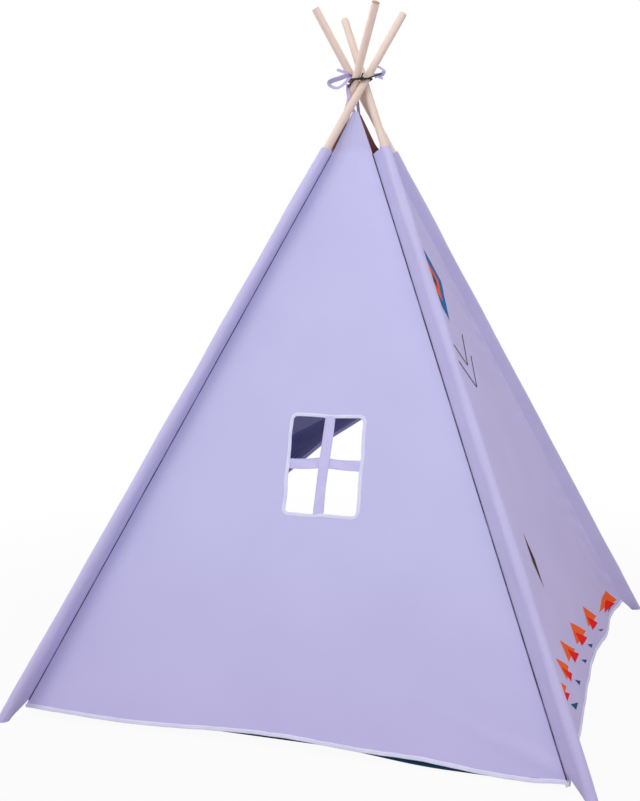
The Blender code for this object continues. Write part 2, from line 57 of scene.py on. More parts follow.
# Camera, at the photograph's angle
cameraView = {
    "place": (0.8406, -2.6738, 0.9744),
    "turn": -19.424,  # degrees from +Y
    "tilt": 6.984,  # degrees down
    "roll": -0.357,
    "lens": 53.41,  # mm on the long side of the film
    "film": 36,
    "nearest": 0.05,
}


def placeCamera():
    turn = math.radians(cameraView["turn"])
    tilt = math.radians(cameraView["tilt"])
    roll = math.radians(cameraView["roll"])
    forward = Vector((math.sin(turn) * math.cos(tilt), math.cos(turn) * math.cos(tilt), -math.sin(tilt)))
    right = Vector((math.cos(turn), -math.sin(turn), 0))
    level = right.cross(forward)
    side = right * math.cos(roll) + level * math.sin(roll)
    top = level * math.cos(roll) - right * math.sin(roll)
    lens = bpy.data.cameras.new("teepeeCamera")
    lens.lens = cameraView["lens"]
    lens.sensor_width = cameraView["film"]
    lens.clip_start = cameraView["nearest"]
    camera = bpy.data.objects.new("teepeeCamera", lens)
    matrix = Matrix((side, top, -forward)).transposed().to_4x4()
    matrix.translation = Vector(cameraView["place"])
    camera.matrix_world = matrix
    scene.collection.objects.link(camera)
    scene.camera = camera


placeCamera()
print("camera placed")

# The lines that the cloth is sewn to, as in the solids, apart from the window side's two fits to the photo
tentLines = {
    "baseSide": 1.22,  # between the poles on the floor
    "crossingHeight": 1.36,
    "poleSwirl": 0.0149,
    "poleRadius": 0.009,
    "sleeveTurn": 23,  # degrees that the cloth is twisted round each pole
    "sleeveTop": 1.212,
    "tipHeight": 1.298,
    "tipWidth": 0.012,
    "reachLow": 0.036,  # from a pole's axis to the seam
    "reachHigh": 0.020,
    "seamGap": 0.0014,
    "farSeamDraw": 0.0155,  # a fit: its far edge is drawn in by this at the sleeves' top
    "tipShift": -0.0118,  # a fit: its tip moves by this along the side
    "hemHeight": 0.024,
    "panelSag": 0.006,
    "footWave": 0.0035,  # depth of the four waves above each hem
}
poleLean = math.atan2(tentLines["baseSide"] / math.sqrt(2), tentLines["crossingHeight"])
panelLean = math.atan2(tentLines["baseSide"] / 2, tentLines["crossingHeight"])
sleeveTurn = math.radians(tentLines["sleeveTurn"])
hemRises = (0.008, 0.0035, 0.0035, 0.0035)
hemRiseCounts = (1.4, 4, 4, 4)
hemRiseStarts = (math.radians(-155), math.radians(115), math.radians(230), math.radians(345))
hemBows = (0.004, 0.024, 0.0, 0.014)
sideBodies = ("window_side", "printed_side", "door_side", "plain_side")
sideNames = ("window", "printed", "door", "plain")
cornerLetters = ("a", "b", "c", "d")
white = (1.0, 1.0, 1.0)


def poleMatrix(corner):
    turn = math.radians(45 + 90 * corner)
    leanIn = Vector((math.cos(turn), math.sin(turn), 0))
    along = leanIn * math.sin(poleLean) + up * math.cos(poleLean)
    inner = leanIn * math.cos(poleLean) - up * math.sin(poleLean)
    side = up.cross(leanIn)
    matrix = Matrix((inner, side, along)).transposed().to_4x4()
    matrix.translation = up * tentLines["crossingHeight"] - side * tentLines["poleSwirl"]
    return matrix


poleMatrices = [poleMatrix(corner) for corner in range(4)]


def polePoint(corner, height, reach=0.0):
    out = reach * math.cos(sleeveTurn)
    run = (height - tentLines["crossingHeight"] + out * math.sin(poleLean)) / math.cos(poleLean)
    return poleMatrices[corner] @ Vector((out, reach * math.sin(sleeveTurn), run))


def sleeveReach(height):
    share = min(max(height / tentLines["sleeveTop"], 0), 1)
    return tentLines["reachLow"] + (tentLines["reachHigh"] - tentLines["reachLow"]) * share


def seamPoint(corner, height):
    return polePoint(corner, height, sleeveReach(height))


def findNormal(side):
    left, right = side, (side + 1) % 4
    lowLeft, lowRight = seamPoint(left, 0), seamPoint(right, 0)
    top = tentLines["sleeveTop"]
    high = (seamPoint(left, top) + seamPoint(right, top)) / 2
    return (lowRight - lowLeft).cross(high - (lowLeft + lowRight) / 2).normalized()


panelNormals = [findNormal(side) for side in range(4)]


# 0 below a place, 1 above another, and smooth between them
def easeIn(value, low, high):
    share = min(max((value - low) / (high - low), 0), 1)
    return share * share * (3 - 2 * share)


# How the panels' edges leave their sleeves
tipEdges = {
    "startDraw": (0.0, 0.5, 0.15, 0.0),  # how far each side's first edge moves over to its second one
    "startRun": (-0.022, 0.023),  # between these heights, from the sleeves' top
    "endHold": 0.55,  # how far the plain side's second edge stays at its pole, so that its lining shows
    "endRun": (-0.015, 0.012),
}


def panelEdges(side, height):
    left, right = side, (side + 1) % 4
    top, tip = tentLines["sleeveTop"], tentLines["tipHeight"]
    low = min(height, top)
    drawn = tentLines["farSeamDraw"] * max(low, 0) / top if side == 0 else 0.0
    start, end = seamPoint(left, low), polePoint(right, low, sleeveReach(low) + drawn)
    across = (end - start).normalized()
    start += across * tentLines["seamGap"]
    end -= across * tentLines["seamGap"]
    if height > top:
        share = (height - top) / (tip - top)
        tipMiddle = (polePoint(left, tip) + polePoint(right, tip)) / 2
        if side == 0:
            tipMiddle += across * tentLines["tipShift"]
        start = start.lerp(tipMiddle - across * tentLines["tipWidth"] / 2, share)
        end = end.lerp(tipMiddle + across * tentLines["tipWidth"] / 2, share)
    if tipEdges["startDraw"][side]:
        low, high = tipEdges["startRun"]
        start = start.lerp(end, tipEdges["startDraw"][side] * easeIn(height, top + low, top + high))
    if side == 3:
        low, high = tipEdges["endRun"]
        rise = max(0, (height - top) / (tip - top))
        hold = tipEdges["endHold"] * easeIn(height, top + low, top + high) * math.cos(math.pi / 2 * rise)
        end = end.lerp(polePoint(right, height), hold)
    return start, end


def hangingFold(side, across, height):
    rise = min(max(height / tentLines["sleeveTop"], 0), 1)
    edge = math.sin(math.pi * across)
    sag = -tentLines["panelSag"] * edge * math.sin(math.pi * rise) if side != 2 else 0
    wave = tentLines["footWave"] * edge * (1 - rise) ** 4 * math.sin(8 * math.pi * across + side)
    return sag + wave - hemBows[side] * edge * (1 - rise) ** 2


# Small folds of sewn canvas: a soft roll all over, puckers along the seams, pulls under the tip
clothFolds = {
    "rollDepth": (0.0016, 0.0030, 0.0026, 0.0030),  # on each side
    "rollSize": 0.22,
    "rollFade": 0.03,  # the rolls fade out this near to an edge
    "puckerDepth": 0.0008,
    "puckerLength": 0.047,
    "puckerReach": 0.016,  # from the seam
    "tipPull": 0.0016,
    "tipReach": 0.09,
    "creaseDepth": (0.0, 0.0065, 0.003, 0.003),  # beside the sleeve at the panel's far edge
    "creaseLength": 0.085,
    "creaseReach": 0.05,
    # A fold that rises from the window side's far foot
    "cornerDepth": 0.0045,
    "cornerStart": 0.030,
    "cornerRise": 0.35,  # for each metre across
    "cornerWidth": 0.012,
    "cornerReach": 0.12,
    # The printed side's hem is drawn in near its far foot and ripples
    "printedDraw": 0.016,
    "drawRun": 0.11,  # from that foot
    "drawTop": 0.55,
    "rippleDepth": 0.003,
    "rippleTurns": 42,  # radians a metre
    "rippleReach": 0.4,
}


def smallFold(side, across, height, width):
    edgeRun = min(across, 1 - across) * width
    farRun = (1 - across) * width
    besideSeam = min(1, farRun / 0.01)
    spot = Vector((across * width, height, 3.1 * side)) / clothFolds["rollSize"]
    fold = noise.noise(spot) * clothFolds["rollDepth"][side] * min(1, edgeRun / clothFolds["rollFade"])
    turn = 2 * math.pi * height / clothFolds["puckerLength"] + 4 * noise.noise(spot * 0.7)
    pucker = clothFolds["puckerDepth"] * math.exp(-edgeRun / clothFolds["puckerReach"])
    fold += pucker * math.sin(turn) * min(1, edgeRun / 0.004)
    below = tentLines["tipHeight"] - height
    pull = math.exp(-below / clothFolds["tipReach"]) * min(1, below / 0.02)
    fold += clothFolds["tipPull"] * pull * math.sin(math.pi * across) * math.sin(5 * math.pi * across)
    lean = height - 0.9 * farRun
    turn = 2 * math.pi * lean / clothFolds["creaseLength"] + 5 * noise.noise(spot * 1.3)
    depth = clothFolds["creaseDepth"][side] * math.exp(-farRun / clothFolds["creaseReach"]) * besideSeam
    fold += depth * (math.sin(turn) - 0.3) * (0.55 + 0.45 * math.sin(height * 9))
    if side == 0:
        ridge = height - clothFolds["cornerStart"] - clothFolds["cornerRise"] * farRun
        ridge /= clothFolds["cornerWidth"]
        away = farRun / clothFolds["cornerReach"]
        fold += clothFolds["cornerDepth"] * math.exp(-ridge * ridge - away) * besideSeam
    if side == 1:
        near = farRun / clothFolds["drawRun"]
        low = max(0, 1 - height / clothFolds["drawTop"])
        fold -= clothFolds["printedDraw"] * near * math.exp(1 - near) * low * low
        ripple = math.sin(farRun * clothFolds["rippleTurns"]) * math.exp(-farRun / clothFolds["rippleReach"])
        fold += clothFolds["rippleDepth"] * ripple * low ** 4 * min(1, farRun / 0.02)
    return fold


def clothPoint(side, across, height):
    start, end = panelEdges(side, height)
    depth = hangingFold(side, across, height) + smallFold(side, across, height, (end - start).length)
    return start.lerp(end, across) + panelNormals[side] * depth


# How the printed side's hem hangs: how far across, and how high
printedHem = (
    (0.00, 0.0160), (0.22, 0.0150), (0.31, 0.0210), (0.38, 0.0180), (0.46, 0.0320), (0.54, 0.0430),
    (0.62, 0.0370), (0.70, 0.0345), (0.78, 0.0265), (0.86, 0.0330), (0.94, 0.0365), (1.00, 0.0380),
)


# The window side's hem rises before its far corner and droops at it: how high, and where across
windowHem = {
    "rise": (0.005, 0.745, 0.065),
    "lift": (0.003, 0.94, 1.0),
    "droop": (0.0075, 0.79, 0.93),
}


def hemLine(side, across):
    if side == 1:
        for (a, low), (b, high) in zip(printedHem, printedHem[1:]):
            if across <= b:
                return low + (high - low) * easeIn(across, a, b)
        return printedHem[-1][1]
    turn = 2 * math.pi * hemRiseCounts[side] * across + hemRiseStarts[side]
    height = tentLines["hemHeight"] + hemRises[side] * math.sin(math.pi * across) * math.sin(turn)
    if side == 0:
        rise, place, width = windowHem["rise"]
        lift, *liftRun = windowHem["lift"]
        droop, *droopRun = windowHem["droop"]
        height += rise * math.exp(-((across - place) / width) ** 2)
        height += lift * easeIn(across, *liftRun) - droop * easeIn(across, *droopRun)
    return height


def downSlope(side, height):
    start, end = panelEdges(side, height)
    across = (end - start).normalized()
    return (start + end) / 2, across, across.cross(panelNormals[side]).normalized()


def widthAt(side, height):
    start, end = panelEdges(side, height)
    return (end - start).length


def clothUv(side, across, height):
    return ((across - 0.5) * widthAt(side, height), height / math.cos(panelLean))


print("seam lines ready")


# A shader node with its settings: an input that is a socket is linked, and any other is a plain value
def addNode(tree, kind, inputs, output=0, **settings):
    node = tree.nodes.new("ShaderNode" + kind)
    for name, value in settings.items():
        setattr(node, name, value)
    for place, value in inputs.items():
        if isinstance(value, bpy.types.NodeSocket):
            tree.links.new(value, node.inputs[place])
        else:
            node.inputs[place].default_value = value
    return node.outputs[output]


# Materials: each one is grown from small tools that return a socket
class Finish:
    def __init__(self, name, roughness, metallic=0.0, sheen=0.0, specular=0.5):
        self.material = bpy.data.materials.new(name)
        self.material.use_nodes = True
        self.tree = self.material.node_tree
        self.shader = self.tree.nodes["Principled BSDF"]
        self.shader.inputs["Roughness"].default_value = roughness
        self.shader.inputs["Metallic"].default_value = metallic
        self.shader.inputs["Sheen Weight"].default_value = sheen
        self.shader.inputs["Specular IOR Level"].default_value = specular

    def coordinates(self, kind):
        return addNode(self.tree, "TexCoord", {}, kind)

    def scaled(self, vector, scale):
        return addNode(self.tree, "Mapping", {"Vector": vector, "Scale": scale})

    def noise(self, vector, scale, detail=3.0, roughness=0.5):
        inputs = {"Vector": vector, "Scale": scale, "Detail": detail, "Roughness": roughness}
        return addNode(self.tree, "TexNoise", inputs, "Fac")

    def part(self, vector, axis):
        return addNode(self.tree, "SeparateXYZ", {0: vector}, axis)

    def dot(self, vector, direction):
        return addNode(self.tree, "VectorMath", {0: vector, 1: direction}, "Value", operation="DOT_PRODUCT")

    def joined(self, *values):
        return addNode(self.tree, "CombineXYZ", dict(enumerate(values)))

    def math(self, kind, *values):
        return addNode(self.tree, "Math", dict(enumerate(values)), operation=kind)

    def ramp(self, value, stops):
        node = self.tree.nodes.new("ShaderNodeValToRGB")
        marks = node.color_ramp.elements
        for mark, (place, colour) in zip(marks, stops):
            mark.position = place
            mark.color = (*colour, 1)
        self.tree.links.new(value, node.inputs["Fac"])
        return node.outputs["Color"]

    def mix(self, share, first, second, kind="MIX"):
        colours = [(*value, 1) if isinstance(value, tuple) else value for value in (first, second)]
        inputs = {0: share, 6: colours[0], 7: colours[1]}
        return addNode(self.tree, "Mix", inputs, 2, data_type="RGBA", blend_type=kind)

    def colour(self, socket):
        self.tree.links.new(socket, self.shader.inputs["Base Color"])

    def roughness(self, socket):
        self.tree.links.new(socket, self.shader.inputs["Roughness"])

    def bump(self, height, strength, distance):
        inputs = {"Height": height, "Strength": strength, "Distance": distance}
        self.tree.links.new(addNode(self.tree, "Bump", inputs), self.shader.inputs["Normal"])

    # Threads over and under each other, from lengths in metres along and across the cloth
    def weave(self, vector, pitch):
        first = self.math("SINE", self.math("MULTIPLY", self.part(vector, 0), 2 * math.pi / pitch))
        second = self.math("SINE", self.math("MULTIPLY", self.part(vector, 1), 2 * math.pi / pitch))
        return self.math("MULTIPLY_ADD", self.math("MULTIPLY", first, second), 0.5, 0.5)

    # 1 on each stitch of a row that runs along U at a place in V, else 0
    def stitches(self, vector, rowPlace, length=0.0032, gap=0.0013, thick=0.0009):
        pitch = length + gap
        run = self.math("FRACT", self.math("DIVIDE", self.part(vector, 0), pitch))
        onRun = self.math("LESS_THAN", run, length / pitch)
        away = self.math("ABSOLUTE", self.math("SUBTRACT", self.part(vector, 1), rowPlace))
        return self.math("MULTIPLY", onRun, self.math("LESS_THAN", away, thick / 2))


canvasLook = {
    "light": (0.572, 0.560, 0.866),
    "dark": (0.548, 0.536, 0.842),
    "pitch": 0.0011,
    "bump": 0.00012,
    "tipRun": 1.315,  # up the cloth to the brown lining inside each tip
    "tipBrown": (0.460, 0.200, 0.180),
    "paintedShadeRun": 0.45,  # below this the cloth gets a little darker and pinker: painted shade
    "paintedShadeTone": (0.955, 0.910, 0.945),
}


def makeCanvas(name, light, dark, lined=False):
    finish = Finish(name, 0.92, sheen=0.12, specular=0.25)
    place = finish.coordinates("UV")
    cloudy = finish.noise(place, 5.0, 4.0)
    threads = finish.noise(finish.scaled(place, (60, 900, 1)), 1.0, 2.0)
    crossing = finish.noise(finish.scaled(place, (900, 60, 1)), 1.0, 2.0)
    slubs = finish.math("ADD", threads, crossing)
    base = finish.ramp(cloudy, ((0.3, dark), (0.7, light)))
    shade = finish.ramp(slubs, ((0.35, (0.94, 0.94, 0.95)), (0.65, white)))
    toned = finish.mix(1.0, base, shade, "MULTIPLY")
    # Painted shade: the cloth darkens and turns pinker towards its foot
    rise = finish.math("DIVIDE", finish.part(place, 1), canvasLook["paintedShadeRun"])
    paintedLowShade = finish.ramp(rise, ((0.0, canvasLook["paintedShadeTone"]), (1.0, white)))
    toned = finish.mix(1.0, toned, paintedLowShade, "MULTIPLY")
    if lined:
        onTip = finish.math("GREATER_THAN", finish.part(place, 1), canvasLook["tipRun"])
        toned = finish.mix(onTip, toned, canvasLook["tipBrown"])
    finish.colour(toned)
    woven = finish.weave(place, canvasLook["pitch"])
    height = finish.math("ADD", woven, finish.math("MULTIPLY", slubs, 0.6))
    finish.bump(height, 0.55, canvasLook["bump"])
    return finish


canvas = makeCanvas("lilacCanvas", canvasLook["light"], canvasLook["dark"])
sleeveCanvas = makeCanvas("sleeveCanvas", (0.575, 0.548, 0.848), (0.545, 0.516, 0.812))
# The printed side's canvas is a pinker copy of the canvas: painted light bounced from the floor
printCanvasPaintedBounce = makeCanvas("sideCanvasPaintedBounce", (0.600, 0.550, 0.870), (0.565, 0.515, 0.825))
# The inside canvas is a darker copy of the canvas, which is painted shade; its tips have a brown lining
insideCanvasPaintedShade = makeCanvas("insideCanvasPaintedShade", (0.520, 0.490, 0.760), (0.490, 0.460, 0.720), True)


def makeTape(name, light, dark, ribs=0.0009, rough=0.85, sheen=0.1, stitchRows=()):
    finish = Finish(name, rough, sheen=sheen, specular=0.3)
    place = finish.coordinates("UV")
    cloudy = finish.noise(place, 30.0, 3.0)
    base = finish.ramp(cloudy, ((0.3, dark), (0.7, light)))
    rib = finish.math("SINE", finish.math("MULTIPLY", finish.part(place, 0), 2 * math.pi / ribs))
    height = finish.math("MULTIPLY", rib, 0.5)
    for row in stitchRows:
        stitch = finish.stitches(place, row)
        base = finish.mix(finish.math("MULTIPLY", stitch, 0.5), base, tuple(0.72 * c for c in dark))
        height = finish.math("SUBTRACT", height, finish.math("MULTIPLY", stitch, 1.6))
    finish.colour(base)
    finish.bump(height, 0.5, 0.00015)
    return finish


paleTape = makeTape("paleBinding", (0.78, 0.78, 0.98), (0.70, 0.70, 0.94), stitchRows=(0.0062,))
lilacRibbon = makeTape("lilacRibbon", (0.52, 0.49, 0.76), (0.44, 0.41, 0.68), 0.0007, 0.55, 0.2)
stripCloth = makeTape("stripCloth", (0.61, 0.59, 0.91), (0.56, 0.54, 0.85), 0.0008, 0.9, 0.1, (0.002, 0.021))


# The seams' dark line: dark thread and painted shadow of the gap beside the sleeve, patchy along its length
def makeThreadAndShadow():
    finish = Finish("seamThreadAndShadow", 0.9, specular=0.3)
    place = finish.coordinates("UV")
    patchy = finish.noise(place, 11.0, 3.0, 0.6)
    finish.colour(finish.ramp(patchy, ((0.44, (0.046, 0.036, 0.105)), (0.68, (0.200, 0.180, 0.360)))))
    return finish


seamThreadAndShadow = makeThreadAndShadow()


def makeElastic():
    finish = Finish("blackElastic", 0.62, sheen=0.05, specular=0.4)
    place = finish.coordinates("UV")
    turn = finish.math("MULTIPLY", finish.part(place, 1), 2 * math.pi / 0.0021)
    run = finish.math("MULTIPLY", finish.part(place, 0), 2 * math.pi / 0.0024)
    first = finish.math("SINE", finish.math("ADD", run, turn))
    second = finish.math("SINE", finish.math("SUBTRACT", run, turn))
    braid = finish.math("MULTIPLY", first, second)
    finish.colour(finish.ramp(braid, ((0.2, (0.008, 0.008, 0.010)), (0.9, (0.030, 0.030, 0.034)))))
    finish.bump(braid, 0.6, 0.00025)
    return finish


blackElastic = makeElastic()


def makeQuilt():
    finish = Finish("tealQuilt", 0.95, sheen=0.15, specular=0.25)
    place = finish.coordinates("UV")
    cloudy = finish.noise(place, 9.0, 4.0)
    fluff = finish.noise(place, 420.0, 2.0)
    base = finish.ramp(cloudy, ((0.3, (0.010, 0.075, 0.150)), (0.7, (0.016, 0.100, 0.195))))
    shade = finish.ramp(fluff, ((0.3, (0.86, 0.86, 0.88)), (0.7, white)))
    finish.colour(finish.mix(1.0, base, shade, "MULTIPLY"))
    height = finish.math("ADD", finish.weave(place, 0.0014), finish.math("MULTIPLY", fluff, 1.2))
    finish.bump(height, 0.6, 0.0003)
    return finish


tealQuilt = makeQuilt()


endGrain = (0.25, 0.20, 0.40, 0.85)  # how brown each pole's cut end is
pineColours = ((0.880, 0.715, 0.635), (0.945, 0.800, 0.722))
# Painted light and shade: each pole's wood is tinted lighter or darker by how light falls on it
pinePaintedLight = ((0.92, 0.93, 0.94), (0.88, 0.89, 0.90), (1.05, 1.06, 1.07), (1.06, 1.04, 1.04))


def makePine(corner):
    finish = Finish("pine" + cornerLetters[corner].upper(), 0.55, specular=0.35)
    place = finish.coordinates("Object")
    matrix = poleMatrices[corner]
    along = finish.dot(place, matrix.col[2].to_3d())
    inner = finish.dot(place, matrix.col[0].to_3d())
    side = finish.dot(place, matrix.col[1].to_3d())
    centre = finish.joined(
        finish.math("SUBTRACT", inner, matrix.translation.dot(matrix.col[0].to_3d())),
        finish.math("SUBTRACT", side, matrix.translation.dot(matrix.col[1].to_3d())),
        finish.math("MULTIPLY", along, 0.05),
    )
    broad = finish.noise(centre, 26.0, 3.0)
    rings = finish.noise(finish.scaled(centre, (1, 0.45, 1)), 420.0, 2.0, 0.6)
    fibres = finish.noise(finish.scaled(centre, (1, 1, 4)), 1400.0, 2.0, 0.6)
    # painted light and shade: a tint for each pole
    paintedLight = pinePaintedLight[corner]
    dark, light = (tuple(min(1, c * tone) for c, tone in zip(colour, paintedLight)) for colour in pineColours)
    base = finish.ramp(broad, ((0.32, dark), (0.68, light)))
    grain = finish.ramp(rings, ((0.38, (0.94, 0.90, 0.87)), (0.56, white)))
    toned = finish.mix(0.75, base, grain, "MULTIPLY")
    hairs = finish.ramp(fibres, ((0.3, (0.93, 0.90, 0.87)), (0.6, white)))
    toned = finish.mix(0.6, toned, hairs, "MULTIPLY")
    facing = finish.dot(finish.coordinates("Normal"), matrix.col[2].to_3d())
    onEnd = finish.math("GREATER_THAN", facing, 0.35)
    finish.colour(finish.mix(finish.math("MULTIPLY", onEnd, endGrain[corner]), toned, (0.36, 0.20, 0.13)))
    finish.roughness(finish.math("MULTIPLY_ADD", fibres, 0.2, 0.42))
    finish.bump(finish.math("ADD", rings, fibres), 0.25, 0.0003)
    return finish


def makeSteel():
    finish = Finish("ferruleSteel", 0.32, metallic=1.0)
    place = finish.coordinates("Object")
    brushed = finish.noise(finish.scaled(place, (900, 900, 40)), 1.0, 3.0)
    finish.colour(finish.ramp(brushed, ((0.3, (0.50, 0.50, 0.51)), (0.7, (0.68, 0.68, 0.69)))))
    finish.roughness(finish.math("MULTIPLY_ADD", brushed, 0.25, 0.22))
    finish.bump(brushed, 0.2, 0.0001)
    return finish


def makeInk(name, colour):
    finish = Finish(name, 0.9, specular=0.08)
    place = finish.coordinates("UV")
    cloudy = finish.noise(place, 40.0, 4.0)
    thin = tuple(c * 0.93 + 0.004 for c in colour)
    base = finish.ramp(cloudy, ((0.35, thin), (0.65, colour)))
    woven = finish.weave(place, canvasLook["pitch"])
    specks = finish.ramp(finish.noise(place, 900.0, 2.0), ((0.25, (0.9, 0.9, 0.9)), (0.5, white)))
    finish.colour(finish.mix(1.0, base, specks, "MULTIPLY"))
    finish.bump(woven, 0.4, 0.00010)
    return finish


inks = {
    "orange": makeInk("orangeInk", (0.95, 0.135, 0.026)),
    "red": makeInk("redInk", (0.88, 0.014, 0.017)),
    "navy": makeInk("navyInk", (0.016, 0.082, 0.200)),
    "blue": makeInk("blueInk", (0.028, 0.155, 0.410)),
    "brown": makeInk("brownInk", (0.095, 0.036, 0.034)),
}
pines = [makePine(corner) for corner in range(4)]
steel = makeSteel()
print("finishes ready")


# Making pieces
def meshPiece(name, points, faces, uvs, finish, slot):
    mesh = bpy.data.meshes.new(name)
    mesh.from_pydata(points, [], faces)
    layer = mesh.uv_layers.new(name="cloth")
    for loop in mesh.loops:
        layer.data[loop.index].uv = uvs[loop.vertex_index]
    mesh.validate()
    mesh.materials.append(finish.material)
    for face in mesh.polygons:
        face.use_smooth = True
    piece = bpy.data.objects.new(name, mesh)
    scene.collection.objects.link(piece)
    return piece


def gridPiece(name, rows, uvRows, finish, slot, closed=False, capLow=False, capHigh=False):
    count = len(rows[0])
    points = [point for row in rows for point in row]
    uvs = [uv for row in uvRows for uv in row]
    faces = []
    for r in range(len(rows) - 1):
        for c in range(count if closed else count - 1):
            d = (c + 1) % count
            faces.append((r * count + c, r * count + d, (r + 1) * count + d, (r + 1) * count + c))
    if capLow:
        faces.append(tuple(range(count))[::-1])
    if capHigh:
        first = (len(rows) - 1) * count
        faces.append(tuple(range(first, first + count)))
    return meshPiece(name, points, faces, uvs, finish, slot)


def thicken(piece, thickness, offset=0.0):
    solid = piece.modifiers.new("Thickness", "SOLIDIFY")
    solid.thickness = thickness
    solid.offset = offset
    solid.use_even_offset = True


# The modifiers' result becomes the mesh
def settle(piece, sharpAngle=40):
    bpy.context.view_layer.update()
    graph = bpy.context.evaluated_depsgraph_get()
    made = bpy.data.meshes.new_from_object(piece.evaluated_get(graph))
    piece.modifiers.clear()
    piece.data = made
    shape = bmesh.new()
    shape.from_mesh(made)
    bmesh.ops.recalc_face_normals(shape, faces=shape.faces)
    shape.to_mesh(made)
    shape.free()
    for face in made.polygons:
        face.use_smooth = True
    made.set_sharp_from_angle(angle=math.radians(sharpAngle))
    return piece


# A finished piece rides on a body, and may take a node's place
def fit(piece, body, node=None):
    settle(piece)
    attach(piece, body)
    if node:
        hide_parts(node)
    return piece


def onSide(piece, side, node=None):
    fit(piece, sideBodies[side], node)
    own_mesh(piece)
    return piece


# A sheet from a function that gives a point and its place on the flat cloth, by how far along and across
def sheetPiece(name, counts, spot, finish, thickness, slot="lilac_canvas", offset=0.0):
    shares = [c / counts[1] for c in range(counts[1] + 1)]
    spots = [[spot(r / counts[0], share) for share in shares] for r in range(counts[0] + 1)]
    rows = [[place for place, _ in row] for row in spots]
    piece = gridPiece(name, rows, [[uv for _, uv in row] for row in spots], finish, slot)
    thicken(piece, thickness, offset)
    return piece


# A profile carried along a path; each station has its own two directions and scale
def sweepPiece(name, path, asides, outs, profile, finish, slot, loop=False, scales=None):
    rows = []
    uvRows = []
    run = 0.0
    girth = [0.0]
    for a, b in zip(profile, profile[1:] + profile[:1]):
        girth.append(girth[-1] + math.hypot(b[0] - a[0], b[1] - a[1]))
    for index, point in enumerate(path):
        if index:
            run += (point - path[index - 1]).length
        scale = scales[index] if scales else 1.0
        rows.append([point + asides[index] * x * scale + outs[index] * y * scale for x, y in profile])
        uvRows.append([(run, girth[k]) for k in range(len(profile))])
    if loop:
        rows.append(rows[0])
        uvRows.append([(run + (path[0] - path[-1]).length, girth[k]) for k in range(len(profile))])
    return gridPiece(name, rows, uvRows, finish, slot, closed=True, capLow=not loop, capHigh=not loop)


def roundProfile(radius, sides=14):
    return [
        (radius * math.cos(2 * math.pi * k / sides), radius * math.sin(2 * math.pi * k / sides))
        for k in range(sides)
    ]


def bandProfile(width, thick, steps=4):
    points = []
    half = width / 2 - thick / 2
    for sign in (1, -1):
        for k in range(steps + 1):
            turn = math.pi * (k / steps - 0.5)
            points.append((sign * (half + thick / 2 * math.cos(turn)), sign * thick / 2 * math.sin(turn)))
    return points


def smoothRoute(points, steps=8):
    ends = [points[0] * 2 - points[1], *points, points[-1] * 2 - points[-2]]
    route = []
    for a, b, c, d in zip(ends, ends[1:], ends[2:], ends[3:]):
        for step in range(steps):
            t = step / steps
            spot = b * 2 + (c - a) * t + (a * 2 - b * 5 + c * 4 - d) * t * t
            route.append(0.5 * (spot + (b * 3 - a - c * 3 + d) * t ** 3))
    route.append(points[-1].copy())
    return route


def tangents(path, loop=False):
    found = []
    last = len(path) - 1
    for index in range(len(path)):
        before = path[index - 1] if index or loop else path[0]
        after = path[(index + 1) % len(path)] if index < last or loop else path[last]
        found.append((after - before).normalized())
    return found


# Directions beside a path, square to it and to a given direction
def squaredTo(path, direction, loop=False):
    runs = tangents(path, loop)
    outs = [run.cross(direction).normalized() for run in runs]
    return [out.cross(run).normalized() for run, out in zip(runs, outs)], outs


# Directions beside a path that turn as little as they can
def besides(path, loop=False):
    runs = tangents(path, loop)
    first = runs[0].orthogonal().normalized()
    asides = [first]
    for run in runs[1:]:
        first = (first - run * first.dot(run)).normalized()
        asides.append(first)
    return asides, [run.cross(aside) for run, aside in zip(runs, asides)]


# A pale binding along a path that lies on a side's cloth
def bindPath(name, path, side, width, thickness, loop=False):
    normal = panelNormals[side]
    runs = tangents(path, loop)
    outs = [(normal - run * normal.dot(run)).normalized() for run in runs]
    asides = [out.cross(run) for run, out in zip(runs, outs)]
    profile = bandProfile(width, thickness, 4)
    return sweepPiece(name, path, asides, outs, profile, paleTape, "pale_binding", loop)


def ribbonPiece(name, path, asides, outs, width, thickness):
    profile = bandProfile(width, thickness, 2)
    return sweepPiece(name, path, asides, outs, profile, lilacRibbon, "lilac_ribbon")


# Lashing: the elastic cord lies round the outermost poles
lashingCord = {
    "diameter": 0.004,
    "lift": 0.012,  # above the crossing
    "tilt": 5,  # degrees
    "points": 96,
    "gap": 0.0003,  # between the cord and the poles
    "knotTurns": (-72, -50),  # the knot lies between these two places
    "knotShare": 0.43,
    "wrapDrop": 0.016,  # how far the second turn of cord hangs below the first at the left
    "wrapTurn": 190,  # where it hangs lowest
    "knotReach": 0.0052,  # from the poles to the knot's middle
    "knotWide": 0.00125,
    "knotDeep": 0.0019,
    "knotFlat": 0.8,  # its height as a share of its width
    "knotPoints": 72,
    "knotCord": 0.0019,  # radius
    "endCord": 0.0017,
    # Each loose end from the knot's middle: outwards, along the cord, up
    "longEnd": ((0, 0.001, 0), (0.0012, 0.0095, -0.001), (0.005, 0.0235, 0.0037), (0.0098, 0.045, 0.0106)),
    "shortEnd": ((0, 0, 0.001), (0.0010, 0.0006, 0.005), (0.0022, 0.0016, 0.009), (0.0034, 0.0030, 0.0125)),
}


